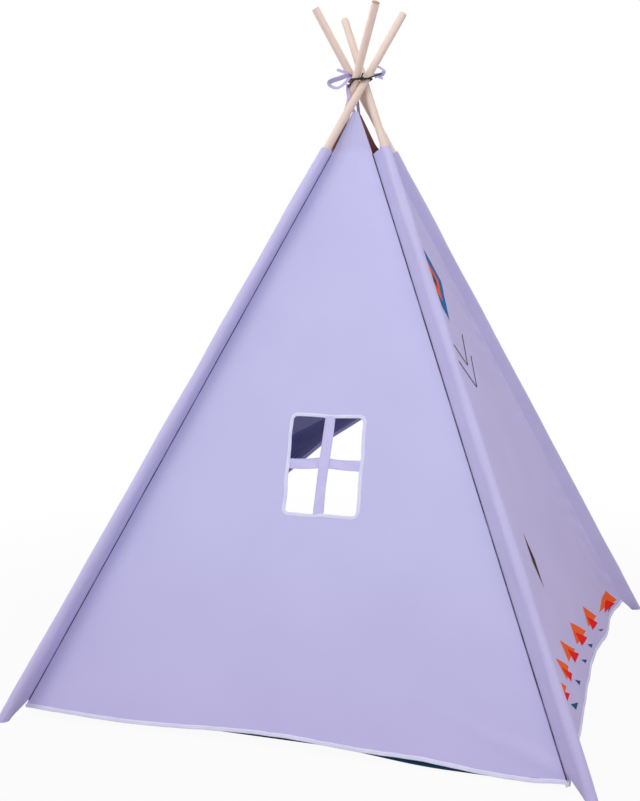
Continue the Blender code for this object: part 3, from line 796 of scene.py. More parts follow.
def cordPlace(turn, reach, drop=0.0):
    facing = Vector((math.cos(turn), math.sin(turn), 0))
    radius = tentLines["poleRadius"]
    wide = radius / math.cos(poleLean)
    far = None
    for corner in range(4):
        inward = math.radians(45 + 90 * corner)
        level = tentLines["crossingHeight"] + lashingCord["lift"] - drop
        centre = polePoint(corner, level)
        level += centre.x * math.tan(math.radians(lashingCord["tilt"]))
        centre = polePoint(corner, level)
        along = Vector((math.cos(inward), math.sin(inward), 0))
        side = Vector((-along.y, along.x, 0))
        a, b = wide * facing.dot(along), radius * facing.dot(side)
        edge = centre + (along * wide * a + side * radius * b) / math.hypot(a, b)
        if far is None or edge.dot(facing) > far.dot(facing):
            far = edge
    return far + facing * reach / math.cos(poleLean)


def elasticPiece(name, path, directions, profile, node=None, loop=False, scales=None):
    piece = sweepPiece(name, path, *directions, profile, blackElastic, "black_elastic", loop, scales)
    return fit(piece, "lashing", node)


def makeTurn(name, drops, node=None):
    half = lashingCord["diameter"] / 2
    count = lashingCord["points"]
    turns = [2 * math.pi * k / count for k in range(count)]
    path = [cordPlace(turn, half + lashingCord["gap"], drops(turn)) for turn in turns]
    elasticPiece(name, path, squaredTo(path, up, True), roundProfile(half), node, True)


def makeLashing():
    turns = [math.radians(turn) for turn in lashingCord["knotTurns"]]
    turn = sum(turns) / 2
    makeTurn("elasticCord", lambda angle: 0.0, "lashing_cord")
    lowest, drop = math.radians(lashingCord["wrapTurn"]), lashingCord["wrapDrop"]
    makeTurn("elasticSecondTurn", lambda angle: drop * max(0, math.cos(angle - lowest)) ** 2)
    start, end = (cordPlace(turn, lashingCord["knotReach"]) for turn in turns)
    middle = start.lerp(end, lashingCord["knotShare"])
    out = Vector((math.cos(turn), math.sin(turn), 0))
    side = Vector((-out.y, out.x, 0))
    knotPath = []
    for k in range(lashingCord["knotPoints"]):
        t = 2 * math.pi * k / lashingCord["knotPoints"]
        across = math.sin(t) + 2 * math.sin(2 * t)
        rise = (math.cos(t) - 2 * math.cos(2 * t)) * lashingCord["knotFlat"]
        spot = (side * across + up * rise) * lashingCord["knotWide"]
        knotPath.append(middle + spot - out * math.sin(3 * t) * lashingCord["knotDeep"])
    knotProfile = roundProfile(lashingCord["knotCord"], 10)
    elasticPiece("elasticKnot", knotPath, besides(knotPath, True), knotProfile, "lashing_knot", True)
    for name, node, spots in (
        ("elasticEndLong", "lashing_tail_long", lashingCord["longEnd"]),
        ("elasticEndShort", "lashing_tail_short", lashingCord["shortEnd"]),
    ):
        path = smoothRoute([middle + out * a + side * b + up * c for a, b, c in spots], 6)
        scales = [1.0 for _ in path]
        scales[-1] = 0.75
        endProfile = roundProfile(lashingCord["endCord"], 10)
        elasticPiece(name, path, besides(path), endProfile, node, False, scales)


makeLashing()
print("lashing done")

# Ribbons that are tied round the crossing, each with a loop and a tail
ribbonBows = {
    "width": 0.011,
    "thickness": 0.0008,
    "lift": 0.010,  # their middle's height over the crossing
    "facing": (0.25, -1.0, 0.2),
    # Where each ribbon runs, from that middle
    "right": (
        (0.0185, 0.0171, 0.0128), (0.0251, 0.0227, 0.0256), (0.0320, 0.0240, 0.0342),
        (0.0395, 0.0224, 0.0323), (0.0465, 0.0185, 0.0281), (0.0528, 0.0155, 0.0230),
        (0.0519, 0.0130, 0.0174), (0.0465, 0.0111, 0.0137), (0.0370, 0.0085, 0.0121),
        (0.0350, 0.0050, 0.0110), (0.0400, 0.0052, 0.0090), (0.0522, 0.0100, 0.0044),
    ),
    "left": (
        (-0.0485, -0.0214, 0.0258), (-0.0329, -0.0180, 0.0202), (-0.0190, -0.0135, 0.0145),
        (-0.0205, -0.0155, 0.0125), (-0.0294, -0.0209, 0.0100), (-0.0408, -0.0250, 0.0056),
        (-0.0535, -0.0294, 0.0016), (-0.0637, -0.0309, -0.0028), (-0.0625, -0.0316, -0.0097),
        (-0.0536, -0.0285, -0.0150), (-0.0448, -0.0275, -0.0158), (-0.0332, -0.0245, -0.0098),
        (-0.0222, -0.0205, 0.0020), (-0.0185, -0.0171, 0.0075),
    ),
}


def makeRibbonBow(name, node, spots, bodyTurn):
    origin = Vector((0, 0, tentLines["crossingHeight"] + ribbonBows["lift"]))
    path = smoothRoute([origin + Vector(spot) for spot in spots], 10)
    facing = Vector(ribbonBows["facing"])
    turn = math.radians(bodyTurn)
    asides = []
    outs = []
    for run in tangents(path):
        flat = run.cross(facing).normalized()
        deep = flat.cross(run).normalized()
        asides.append(deep * math.cos(turn) + flat * math.sin(turn))
        outs.append(run.cross(asides[-1]).normalized())
    bow = ribbonPiece(name, path, asides, outs, ribbonBows["width"], ribbonBows["thickness"])
    fit(bow, "lashing", node)


makeRibbonBow("ribbonBowRight", "ribbon_bow_right", ribbonBows["right"], 40)
makeRibbonBow("ribbonBowLeft", "ribbon_bow_left", ribbonBows["left"], 52)
print("ribbons done")

# Poles keep their solids and get wood and steel
for name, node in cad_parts.items():
    if name.startswith("pole_"):
        corner = cornerLetters.index(name[5])
        finish = steel if "ferrule" in name else pines[corner]
        for slot in node.material_slots:
            slot.material = finish.material

# Sleeves: tubes of canvas round the poles, drawn in to the seam, closed and cut slanting at the foot
sleeveCut = {
    "radius": 0.0121,
    "thickness": 0.0011,
    "rings": 150,
    "arcSteps": 40,
    "footCut": 0.034,  # below this the foot slants in to the pole
    "footReach": 0.0155,
    "ripple": 0.0010,
    "wrinkle": 0.0011,
    "topSlant": 0.65,  # how square to the pole the top is cut
    "slantRun": 0.03,  # the slant turns to that over this height
    "flatWidth": 0.105,
}


def sleeveOutline(corner, reach, height):
    radius = sleeveCut["radius"]
    tangent = math.acos(min(radius / reach, 0.999))
    sweep = 2 * (math.pi - tangent)
    share = height / tentLines["sleeveTop"]
    ripple = sleeveCut["ripple"] * (1 - math.cos(10 * math.pi * share)) / 2
    outline = [Vector((reach, 0, 0))]
    for step in range(sleeveCut["arcSteps"] + 1):
        turn = tangent + sweep * step / sleeveCut["arcSteps"]
        spot = Vector((math.cos(turn) * 1.2, math.sin(turn) * 1.2, height * 9 + corner * 5))
        wrinkle = sleeveCut["wrinkle"] * noise.noise(spot) + 0.0005 * noise.noise(spot * 3.1)
        wide = radius + ripple + wrinkle
        outline.append(Vector((wide * math.cos(turn), wide * math.sin(turn), 0)))
    twist = Matrix.Rotation(sleeveTurn, 3, "Z")
    return [twist @ point for point in outline]


def makeSleeve(corner):
    top = tentLines["sleeveTop"]
    slope = math.tan(poleLean)
    rows = []
    uvRows = []
    heights = [sleeveCut["footCut"] * k / 10 for k in range(10)]
    count = sleeveCut["rings"]
    heights += [sleeveCut["footCut"] + (top - sleeveCut["footCut"]) * k / count for k in range(count + 1)]
    for height in heights:
        cut = min(height / sleeveCut["footCut"], 1)
        reach = sleeveCut["footReach"] + (sleeveReach(height) - sleeveCut["footReach"]) * cut
        base = (height - tentLines["crossingHeight"]) / math.cos(poleLean)
        if corner == 1:  # it meets the window side's far edge
            reach += tentLines["farSeamDraw"] * height / top
        outline = sleeveOutline(corner, reach, height)
        tilt = slope * (1 - sleeveCut["topSlant"] * easeIn(height, top - sleeveCut["slantRun"], top))
        rows.append([poleMatrices[corner] @ Vector((p.x, p.y, base + p.x * tilt)) for p in outline])
        girths = [0.0]
        for before, point in zip(outline, outline[1:]):
            girths.append(girths[-1] + (point - before).length)
        uvRows.append([(girth, height / math.cos(poleLean)) for girth in girths])
    letter = cornerLetters[corner]
    name = "sleeveCloth" + letter.upper()
    piece = gridPiece(name, rows, uvRows, sleeveCanvas, "lilac_canvas", True, capLow=True)
    thicken(piece, sleeveCut["thickness"], -1.0)
    fit(piece, "pole_" + letter, "sleeve_" + letter)


for corner in range(4):
    makeSleeve(corner)
print("sleeves done")

# Panels
panelCut = {
    "thickness": 0.0012,
    "columns": 96,
    "rows": 120,
}
windowCut = {
    "width": 0.1695,
    "height": 0.2235,
    "middleHeight": 0.5365,
    "shift": 0.027,
    "corner": 0.016,
    "bandWidth": 0.008,
    "bandThickness": 0.0026,
    "waver": 0.0024,
    "shear": 0.042,
    "stripWidth": 0.0226,
    "stripThickness": 0.0008,
    "stripRipple": 0.0004,
}
doorCut = {
    "topHeight": 0.645,
    "edgeTurn": 60,
    "flapTurn": 49,
    "flapStart": 0.060,
}


def doorEdge(across):
    low, high = tentLines["hemHeight"], doorCut["topHeight"]
    half = widthAt(2, high) / 2
    spread = (widthAt(2, low) / 2 - half) / (high - low)
    run = abs(across - 0.5) * 2
    slope = math.tan(math.radians(doorCut["edgeTurn"])) / math.cos(panelLean)
    return high - run * half / (slope - run * spread)


def roundedOutline(width, height, corner, steps=6, sideSteps=1):
    signs = ((1, 1), (-1, 1), (-1, -1), (1, -1))
    centres = [Vector((x * (width / 2 - corner), y * (height / 2 - corner))) for x, y in signs]

    def arcPoint(quarter, share):
        angle = math.pi / 2 * (quarter % 4 + share)
        return centres[quarter % 4] + corner * Vector((math.cos(angle), math.sin(angle)))

    points = []
    for quarter in range(4):
        points += [arcPoint(quarter, step / steps) for step in range(steps + 1)]
        last, ahead = points[-1].copy(), arcPoint(quarter + 1, 0)
        points += [last.lerp(ahead, step / sideSteps) for step in range(1, sideSteps)]
    return points


windowShare = 0.5 + windowCut["shift"] / widthAt(0, windowCut["middleHeight"])
windowDepth = hangingFold(0, windowShare, windowCut["middleHeight"])


def windowMatrix():
    height = windowCut["middleHeight"]
    _, across, down = downSlope(0, height)
    start, end = panelEdges(0, height)
    matrix = Matrix((across, -down, across.cross(-down))).transposed().to_4x4()
    matrix.translation = start.lerp(end, windowShare) + panelNormals[0] * windowDepth
    return matrix


windowPlace = windowMatrix()
windowSag = panelNormals[0] * windowDepth


# A place near the window, by its distance across and up from the window's middle, lying on the cloth
def onWindow(x, y, lift=0.0):
    flat = windowPlace @ Vector((x - windowCut["shear"] * y, y, 0)) - windowSag
    start, end = panelEdges(0, flat.z)
    share = (flat - start).dot((end - start).normalized()) / (end - start).length
    return clothPoint(0, share, flat.z) + panelNormals[0] * lift


def makePanel(name, side, lowerEdge, finish):
    tip = tentLines["tipHeight"]

    def spot(rise, across):
        bottom = lowerEdge(across)
        height = bottom + (tip - bottom) * rise
        return clothPoint(side, across, height), clothUv(side, across, height)

    return sheetPiece(name, (panelCut["rows"], panelCut["columns"]), spot, finish, panelCut["thickness"])


# The cloth's inner faces take the inside canvas, a darker copy of the canvas: painted shade
def lineInside(piece, side):
    piece.data.materials.append(insideCanvasPaintedShade.material)
    for face in piece.data.polygons:
        if face.normal.dot(panelNormals[side]) < -0.3:
            face.material_index = 1


def cutWindow(panel):
    outline = roundedOutline(windowCut["width"], windowCut["height"], windowCut["corner"])
    count = len(outline)
    shear = windowCut["shear"]
    points = [windowPlace @ Vector((p.x - shear * p.y, p.y, z)) for z in (-0.03, 0.03) for p in outline]
    faces = [(k, (k + 1) % count, count + (k + 1) % count, count + k) for k in range(count)]
    faces.append(tuple(range(count))[::-1])
    faces.append(tuple(range(count, 2 * count)))
    mesh = bpy.data.meshes.new("windowShape")
    mesh.from_pydata(points, [], faces)
    shape = bpy.data.objects.new("windowShape", mesh)
    scene.collection.objects.link(shape)
    cut = panel.modifiers.new("Window", "BOOLEAN")
    cut.operation = "DIFFERENCE"
    cut.solver = "EXACT"
    cut.object = shape
    settle(panel)
    bpy.data.objects.remove(shape, do_unlink=True)


def panelArea(side, lowerEdge, steps=40):
    area = 0.0
    for c in range(steps):
        low = lowerEdge((c + 0.5) / steps)
        rise = tentLines["tipHeight"] - low
        for r in range(steps):
            height = low + rise * (r + 0.5) / steps
            area += widthAt(side, height) / steps * rise / steps / math.cos(panelLean)
    return area


def makePanels():
    finishes = (canvas, printCanvasPaintedBounce, canvas, canvas)
    nodes = ("window_panel", "printed_side_panel", "door_panel", "plain_side_panel")
    for side, node in enumerate(nodes):
        edge = doorEdge if side == 2 else partial(hemLine, side)
        piece = makePanel(sideNames[side] + "PanelCloth", side, edge, finishes[side])
        area = panelArea(side, edge)
        if side == 0:
            cutWindow(piece)
            area -= windowCut["width"] * windowCut["height"]
        settle(piece)
        lineInside(piece, side)
        onSide(piece, side, node)
        lowest = min(edge(k / 40) for k in range(41))
        size = (widthAt(side, lowest), (tentLines["tipHeight"] - lowest) / math.cos(panelLean))


makePanels()
print("panels done")

# Bindings along the hems, folded over the cloth's edge and a little wavy
hemTape = {
    "width": 0.0085,
    "thickness": 0.0027,
    "stations": 150,
    "waver": 0.0007,
    "drop": 0.0042,  # of its middle below the cloth's edge
    # The window side's right end hangs free and curls down beside the sleeve: across, down
    "curl": ((0.001, 0.002), (-0.001, 0.005), (-0.005, 0.007)),
}


def makeHem(side, node):
    path = []
    for k in range(hemTape["stations"] + 1):
        across = k / hemTape["stations"]
        height = hemLine(side, across) - hemTape["drop"] * math.cos(panelLean)
        waver = hemTape["waver"] * noise.noise(Vector((across * widthAt(side, height) * 28, side * 4.0, 0)))
        path.append(clothPoint(side, across, height + waver))
    if side == 0:
        corner = path[-1]
        _, across, down = downSlope(0, 0.02)
        for run, drop in hemTape["curl"]:
            path.append(path[-1] * 0.35 + (corner + across * run + down * drop) * 0.65)
    piece = bindPath(sideNames[side] + "HemTape", path, side, hemTape["width"], hemTape["thickness"])
    onSide(piece, side, node)


for side, node in ((0, "window_panel_hem"), (1, "printed_side_panel_hem"), (3, "plain_side_panel_hem")):
    makeHem(side, node)


# Dark lines where the window side meets its sleeves: seam thread and painted shadow
seamLine = {
    "foot": {-1: 0.030, 1: 0.016},  # its lower end at each hand
    "topGap": 0.012,
    "steps": 120,
    "outer": (-0.0014, 0.0012),  # towards the panel's middle, and out from the cloth
    "inner": (0.0011, 0.0010),
    "thickness": 0.0005,
}


def makeSeamLine(side, hand):
    low = seamLine["foot"][hand]
    top = tentLines["sleeveTop"] - seamLine["topGap"]

    def spot(rise, share):
        height = low + (top - low) * rise
        start, end = panelEdges(side, height)
        across = (end - start).normalized()
        edge, toward = (start, across) if hand < 0 else (end, -across)
        run, lift = seamLine["inner"] if share else seamLine["outer"]
        place = edge + toward * run + panelNormals[side] * lift
        return place, (height / math.cos(poleLean), 0.0016 * share)

    name = sideNames[side] + "Seam" + ("Left" if hand < 0 else "Right")
    onSide(sheetPiece(name, (seamLine["steps"], 1), spot, seamThreadAndShadow, seamLine["thickness"]), side)


for hand in (-1, 1):
    makeSeamLine(0, hand)
print("hems and seams done")


# Window: a pale band round the hole and two crossed strips
def makeWindowBand():
    inset = windowCut["bandWidth"] / 2 - 0.0012
    size = (windowCut["width"] - 2 * inset, windowCut["height"] - 2 * inset)
    path = []
    for point in roundedOutline(*size, windowCut["corner"] - inset, 10, 26):
        spot = Vector((point.x * 22, point.y * 22, 2.0))
        shift = Vector((noise.noise(spot), noise.noise(spot + Vector((7, 3, 1))))) * windowCut["waver"]
        path.append(onWindow(point.x + shift.x, point.y + shift.y, 0.0006 * noise.noise(spot * 0.7)))
    band = bindPath("windowBand", path, 0, windowCut["bandWidth"], windowCut["bandThickness"], True)
    onSide(band, 0, "window_binding")


def makeWindowStrip(name, node, ends, lift, bend):
    start, end = Vector(ends[0]), Vector(ends[1])
    run = (end - start).normalized()
    beside = Vector((-run.y, run.x))
    length = (end - start).length

    def spot(share, across):
        away = (across - 0.5) * 2
        half = windowCut["stripWidth"] / 2 * (1 + 0.035 * math.sin(share * 9 + lift * 2000))
        place = start.lerp(end, share) + beside * bend(share) + beside * away * half
        ripple = windowCut["stripRipple"] * math.sin(share * 14 + away * 2)
        return onWindow(place.x, place.y, lift + ripple), (length * share, 0.0115 + away * 0.0115)

    strip = sheetPiece(name, (40, 8), spot, stripCloth, windowCut["stripThickness"])
    onSide(strip, 0, node)


makeWindowBand()
makeWindowStrip(
    "windowStripUpright", "window_strip_upright", ((-0.0040, -0.107), (0.0040, 0.107)), 0.0008,
    lambda share: 0.0010 * math.sin(share * 5),
)
makeWindowStrip(
    "windowStripLevel", "window_strip_level", ((-0.080, 0.000), (0.080, 0.002)), -0.0008,
    lambda share: 0.0040 * math.exp(-((share - 0.48) / 0.18) ** 2),
)
print("window done")


# Prints on the side panel: patches of ink that lie on the cloth
def printPatch(name, corners, ink, lift, steps=10):
    points = []
    uvs = []
    faces = []
    centre = [sum(values) / len(corners) for values in zip(*corners)]
    for a, b in zip(corners, corners[1:] + corners[:1]):
        first = len(points)
        for r in range(steps + 1):
            for k in range(r + 1):
                along = k / r if r else 0
                spot = [c + (p + (q - p) * along - c) * (r / steps) for c, p, q in zip(centre, a, b)]
                place = clothPoint(1, 0.5 + spot[0] / widthAt(1, spot[1]), spot[1])
                points.append(place + panelNormals[1] * lift)
                uvs.append((spot[0], spot[1] / math.cos(panelLean)))
        for r in range(steps):
            row = first + r * (r + 1) // 2
            below = first + (r + 1) * (r + 2) // 2
            for k in range(r + 1):
                faces.append((row + k, below + k, below + k + 1))
                if k < r:
                    faces.append((row + k, below + k + 1, row + k + 1))
    shape = meshPiece(name, points, faces, uvs, inks[ink], "lilac_canvas")
    welded = bmesh.new()
    welded.from_mesh(shape.data)
    bmesh.ops.remove_doubles(welded, verts=welded.verts, dist=0.00002)
    welded.to_mesh(shape.data)
    welded.free()
    onSide(shape, 1)


# Upper corner, tip and lower corner of each triangle, read off the photo to about 5 mm across and
# 1 mm in height: across from the panel's middle, and up from the floor
borderPrint = {
    "orange": (
        ((0.480, 0.088), (0.535, 0.046), (0.335, 0.074)),
        ((0.190, 0.129), (0.290, 0.077), (0.175, 0.085)),
        ((0.000, 0.145), (0.135, 0.087), (-0.015, 0.100)),
        ((-0.155, 0.152), (-0.045, 0.099), (-0.145, 0.102)),
        ((-0.270, 0.147), (-0.170, 0.101), (-0.245, 0.095)),
        ((-0.350, 0.134), (-0.275, 0.092), (-0.325, 0.085)),
        ((-0.425, 0.123), (-0.360, 0.085), (-0.400, 0.078)),
    ),
    "red": (
        ((0.460, 0.071), (0.515, 0.043), (0.395, 0.055)),
        ((0.195, 0.103), (0.275, 0.065), (0.200, 0.070)),
        ((0.010, 0.119), (0.120, 0.076), (0.020, 0.086)),
        ((-0.110, 0.120), (-0.030, 0.084), (-0.090, 0.083)),
        ((-0.250, 0.121), (-0.160, 0.082), (-0.210, 0.080)),
        ((-0.340, 0.105), (-0.270, 0.075), (-0.310, 0.074)),
        ((-0.415, 0.100), (-0.355, 0.070), (-0.385, 0.068)),
    ),
    "navy": (
        ((0.470, 0.050), (0.500, 0.044), (0.440, 0.044)),
        ((0.250, 0.056), (0.315, 0.038), (0.275, 0.044)),
        ((0.085, 0.070), (0.155, 0.051), (0.125, 0.050)),
        ((-0.030, 0.071), (0.015, 0.056), (-0.010, 0.056)),
        ((-0.155, 0.068), (-0.105, 0.049), (-0.125, 0.046)),
        ((-0.295, 0.062), (-0.225, 0.042), (-0.270, 0.042)),
        ((-0.380, 0.056), (-0.330, 0.039), (-0.360, 0.038)),
    ),
}
printLifts = {"low": 0.0009, "middle": 0.0012, "high": 0.0015}  # over the cloth, so that prints can overlap


def lozenge(x, z, halfWidth, halfHeight):
    return [(x, z + halfHeight), (x + halfWidth, z), (x, z - halfHeight), (x - halfWidth, z)]


# One stroke of a chevron, from its outer top down to the middle
def stroke(hand, z, reach=0.066, half=0.004):
    outer = hand * reach
    return [(outer - half, z), (outer + half, z), (half, z - reach), (-half, z - reach)]


# A plain geometric design on the upper part of the same panel
designPrint = (
    ("designBlueLozenge", "blue", "low", lozenge(0.0, 0.915, 0.066, 0.090)),
    ("designOrangeLozenge", "orange", "middle", lozenge(0.0, 0.915, 0.034, 0.047)),
    ("designNavyLozenge", "navy", "high", lozenge(0.0, 0.915, 0.013, 0.019)),
    ("designUpperChevronLeft", "brown", "low", stroke(-1, 0.790)),
    ("designUpperChevronRight", "brown", "low", stroke(1, 0.790)),
    ("designLowerChevronLeft", "navy", "low", stroke(-1, 0.740)),
    ("designLowerChevronRight", "navy", "low", stroke(1, 0.740)),
    ("designBrownLozenge", "brown", "low", lozenge(-0.110, 0.310, 0.016, 0.060)),
)


def makePrints():
    for ink, triangles in borderPrint.items():
        lift = printLifts["middle" if ink == "red" else "low"]
        for index, corners in enumerate(triangles):
            printPatch(ink + "Triangle" + str(index + 1), corners, ink, lift)
    for name, ink, layer, corners in designPrint:
        printPatch(name, corners, ink, printLifts[layer])


makePrints()
print("prints done")

# Tips: ribbon strips from the panels' tips up to the lashing
tipRibbon = {
    "width": 0.0075,
    "thickness": 0.0009,
    "length": 0.035,
    "overlap": 0.004,  # with the tip
    # The window side's ribbon goes up between two poles, from the crossing
    "windowRoute": (
        (-0.0110, -0.0250, -0.0520),
        (-0.0165, -0.0235, -0.0380),
        (-0.0225, -0.0200, -0.0180),
        (-0.0250, -0.0130, 0.0030),
    ),
}


def makeTipTie(side, node):
    start, end = panelEdges(side, tentLines["tipHeight"])
    tip = (start + end) / 2
    across = (end - start).normalized()
    slope = (tip - clothPoint(side, 0.5, tentLines["sleeveTop"])).normalized()
    lower = tip - slope * tipRibbon["overlap"]
    upper = tip + slope * tipRibbon["length"]
    spots = [lower, lower.lerp(upper, 0.4), upper]
    if side == 0:
        crossing = up * tentLines["crossingHeight"]
        spots = [lower] + [crossing + Vector(spot) for spot in tipRibbon["windowRoute"]]
    path = smoothRoute(spots, 8)
    size = (tipRibbon["width"], tipRibbon["thickness"])
    onSide(ribbonPiece(sideNames[side] + "TipRibbon", path, *squaredTo(path, across), *size), side, node)


for side, node in enumerate(("window_panel", "printed_side_panel", "door_panel", "plain_side_panel")):
    makeTipTie(side, node + "_tip_tie")

# Door flaps: gathered in pleats from the fixed cloth's lower edge to a free bound edge
flapCut = {
    "pleats": 9,
    "pleatShare": 0.031,  # of the distance from the door's top corner
    "rows": 60,
    "columns": 126,
    "blendRun": 0.30,
    "length": 0.62,
    "seamGap": 0.012,
    "thickness": 0.0009,
    "wander": 0.004,
    "shiftRun": 0.5,
    "shiftSteps": 60,
    "lap": 0.0007,  # over the fixed cloth
    "flatShare": 0.87,  # of the fixed edge, for the flat width
    "tapeReach": 0.004,  # from the free edge to the binding's middle
}
flapTie = {
    "turn": 53,  # degrees, between the fixed and the free edge
    "place": 0.88,  # of the way down the flap
    "width": 0.014,
    "thickness": 0.0010,
    "past": 0.0045,  # beyond the free edge
    "seamGap": 0.006,
    "depth": 0.0155,
    "steps": 48,
}
fixedTurn = math.radians(doorCut["edgeTurn"])
freeTurn = math.radians(doorCut["flapTurn"])


def flapFrame(hand):
    middle, across, down = downSlope(2, doorCut["topHeight"])
    return middle, across * hand, down, panelNormals[2]


flapFrames = {hand: flapFrame(hand) for hand in (-1, 1)}


# Along the flap at a turn from straight down, and square to that
def fanDirections(hand, turn):
    _, aside, down, _ = flapFrames[hand]
    return aside * math.sin(turn) + down * math.cos(turn), down * math.sin(turn) - aside * math.cos(turn)


def runToSeam(place, direction, hand, gap):
    across = flapFrames[1][1]
    limit = flapCut["length"]
    step = limit / 400
    run = 0.0
    while run < limit:
        spot = place + direction * (run + step)
        edge = panelEdges(2, spot.z)[1 if hand > 0 else 0]
        if (edge - spot).dot(across) * hand < gap:
            break
        run += step
    return run


# From the straight fixed edge of a flap to the curved edge of the fixed cloth
def edgeShift(hand, run):
    spots = []
    for step in range(13):
        across = 0.5 + hand * step / 24
        height = doorEdge(across)
        start, end = panelEdges(2, height)
        spots.append(start.lerp(end, across) + panelNormals[2] * hangingFold(2, across, height))
    lengths = [(far - near).length for near, far in zip(spots, spots[1:])]
    left = run
    place = spots[-1] + (spots[-1] - spots[-2]).normalized() * (run - sum(lengths))
    for near, far, length in zip(spots, spots[1:], lengths):
        if left <= length:
            place = near.lerp(far, left / length)
            break
        left -= length
    return place - (flapFrames[hand][0] + fanDirections(hand, fixedTurn)[0] * run)


# The free edge hangs nearer the middle at its top, so that a closed flap's edge is straight
def freeEdgeTurn(run):
    width = flapCut["blendRun"] * math.sin(fixedTurn - freeTurn)
    turn = freeTurn
    for _ in range(60):
        turn = 0.5 * turn + 0.5 * freeTurn * easeIn(run * math.sin(fixedTurn - turn), 0, width)
    return turn


def flapPoint(hand, share, run, square=0.0):
    middle, _, _, normal = flapFrames[hand]
    direction, beside = fanDirections(hand, fixedTurn + (freeEdgeTurn(run) - fixedTurn) * share)
    fade = math.sin(math.pi * min(share, 0.985)) ** 0.5
    depth = flapCut["pleatShare"] * run * min(1, (run - 0.03) / 0.1)
    pleat = depth * math.sin(2 * math.pi * flapCut["pleats"] * share) * fade
    wander = flapCut["wander"] * noise.noise(Vector((share * 3, run * 9, hand * 2.0))) * fade
    return middle + direction * run + beside * square + normal * (pleat + wander)


def flapReach(hand, turn):
    return runToSeam(flapFrames[hand][0], fanDirections(hand, turn)[0], hand, flapCut["seamGap"])


def fitFlap(piece, hand, replaced):
    settle(piece)
    direction, beside = fanDirections(hand, fixedTurn)
    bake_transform(piece)
    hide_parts(replaced)


def makeFlap(name, node, hand):
    first = doorCut["flapStart"]
    columns, steps = flapCut["columns"], flapCut["shiftSteps"]
    turns = [fixedTurn + (freeTurn - fixedTurn) * (c / columns) for c in range(columns + 1)]
    reaches = [flapReach(hand, turn) for turn in turns]
    shifts = [edgeShift(hand, first + flapCut["shiftRun"] * r / steps) for r in range(steps + 1)]

    def spot(down, share):
        run = first + (reaches[round(share * columns)] - first) * down
        shift = shifts[min(steps, max(0, round((run - first) / flapCut["shiftRun"] * steps)))]
        place = flapPoint(hand, share, run, flapCut["lap"] * (1 - share)) + shift * (1 - share)
        return place, (share * run * 1.05, run)

    cloth = sheetPiece(name + "Cloth", (flapCut["rows"], columns), spot, canvas, flapCut["thickness"])
    fitFlap(cloth, hand, node)
    fixed, free = reaches[0], reaches[-1]
    runs = [first + (free - first) * k / 60 for k in range(61)]
    path = [flapPoint(hand, 1.0, run, flapCut["tapeReach"]) for run in runs]
    tape = bindPath(name + "Tape", path, 2, hemTape["width"], hemTape["thickness"])
    fitFlap(tape, hand, node + "_binding")


def makeFlapTie(name, node, hand):
    middle, _, _, normal = flapFrames[hand]
    turn = math.radians(flapTie["turn"])
    direction, square = fanDirections(hand, turn)
    place = flapTie["place"] * flapReach(hand, turn)
    reach = place * math.sin(turn - freeTurn) + flapTie["past"]
    start = -runToSeam(middle + direction * place, -square, hand, flapTie["seamGap"])
    steps = flapTie["steps"]
    path = []
    for step in range(steps + 1):
        angle = math.pi * step / steps - math.pi / 2
        along = start + (reach - start) * math.cos(angle) ** 0.7 if 0 < step < steps else start
        waver = 0.0008 * math.sin(step * 0.8)
        spot = middle + direction * (place + waver) + square * along
        path.append(spot + normal * flapTie["depth"] * math.sin(angle))
    outs = [run.cross(direction).normalized() for run in tangents(path)]
    tie = ribbonPiece(name, path, [direction] * len(path), outs, flapTie["width"], flapTie["thickness"])
    fit(tie, node + "_hang", node + "_tie")


for name, node, hand in (("doorFlapLeft", "door_flap_left", -1), ("doorFlapRight", "door_flap_right", 1)):
    makeFlap(name, node, hand)
    makeFlapTie(name + "Tie", node, hand)
print("door flaps done")

# Floor mat: quilted, with a bound edge whose front wanders a little
matCut = {
    "width": 1.04,
    "front": 0.545,
    "back": 0.52,
    "corner": 0.012,
    "cells": 9,
    "edge": 0.0105,
    "thickness": 0.0072,
    "quiltThickness": 0.0046,
    "quiltTop": 0.0050,
    "puff": 0.0020,
    "steps": 144,
    "fill": 0.3,
}
wanderCut = {
    "from": 0.40,  # in front of this the mat's front wanders
    "run": 0.145,
    "depth": 0.036,
    "middle": 0.018,
    "across": (0.07, 0.34),
}


def frontWander(x, y):
    near = max(0, (-y - wanderCut["from"]) / wanderCut["run"]) ** 2
    return near * (wanderCut["depth"] * easeIn(x, *wanderCut["across"]) - wanderCut["middle"])


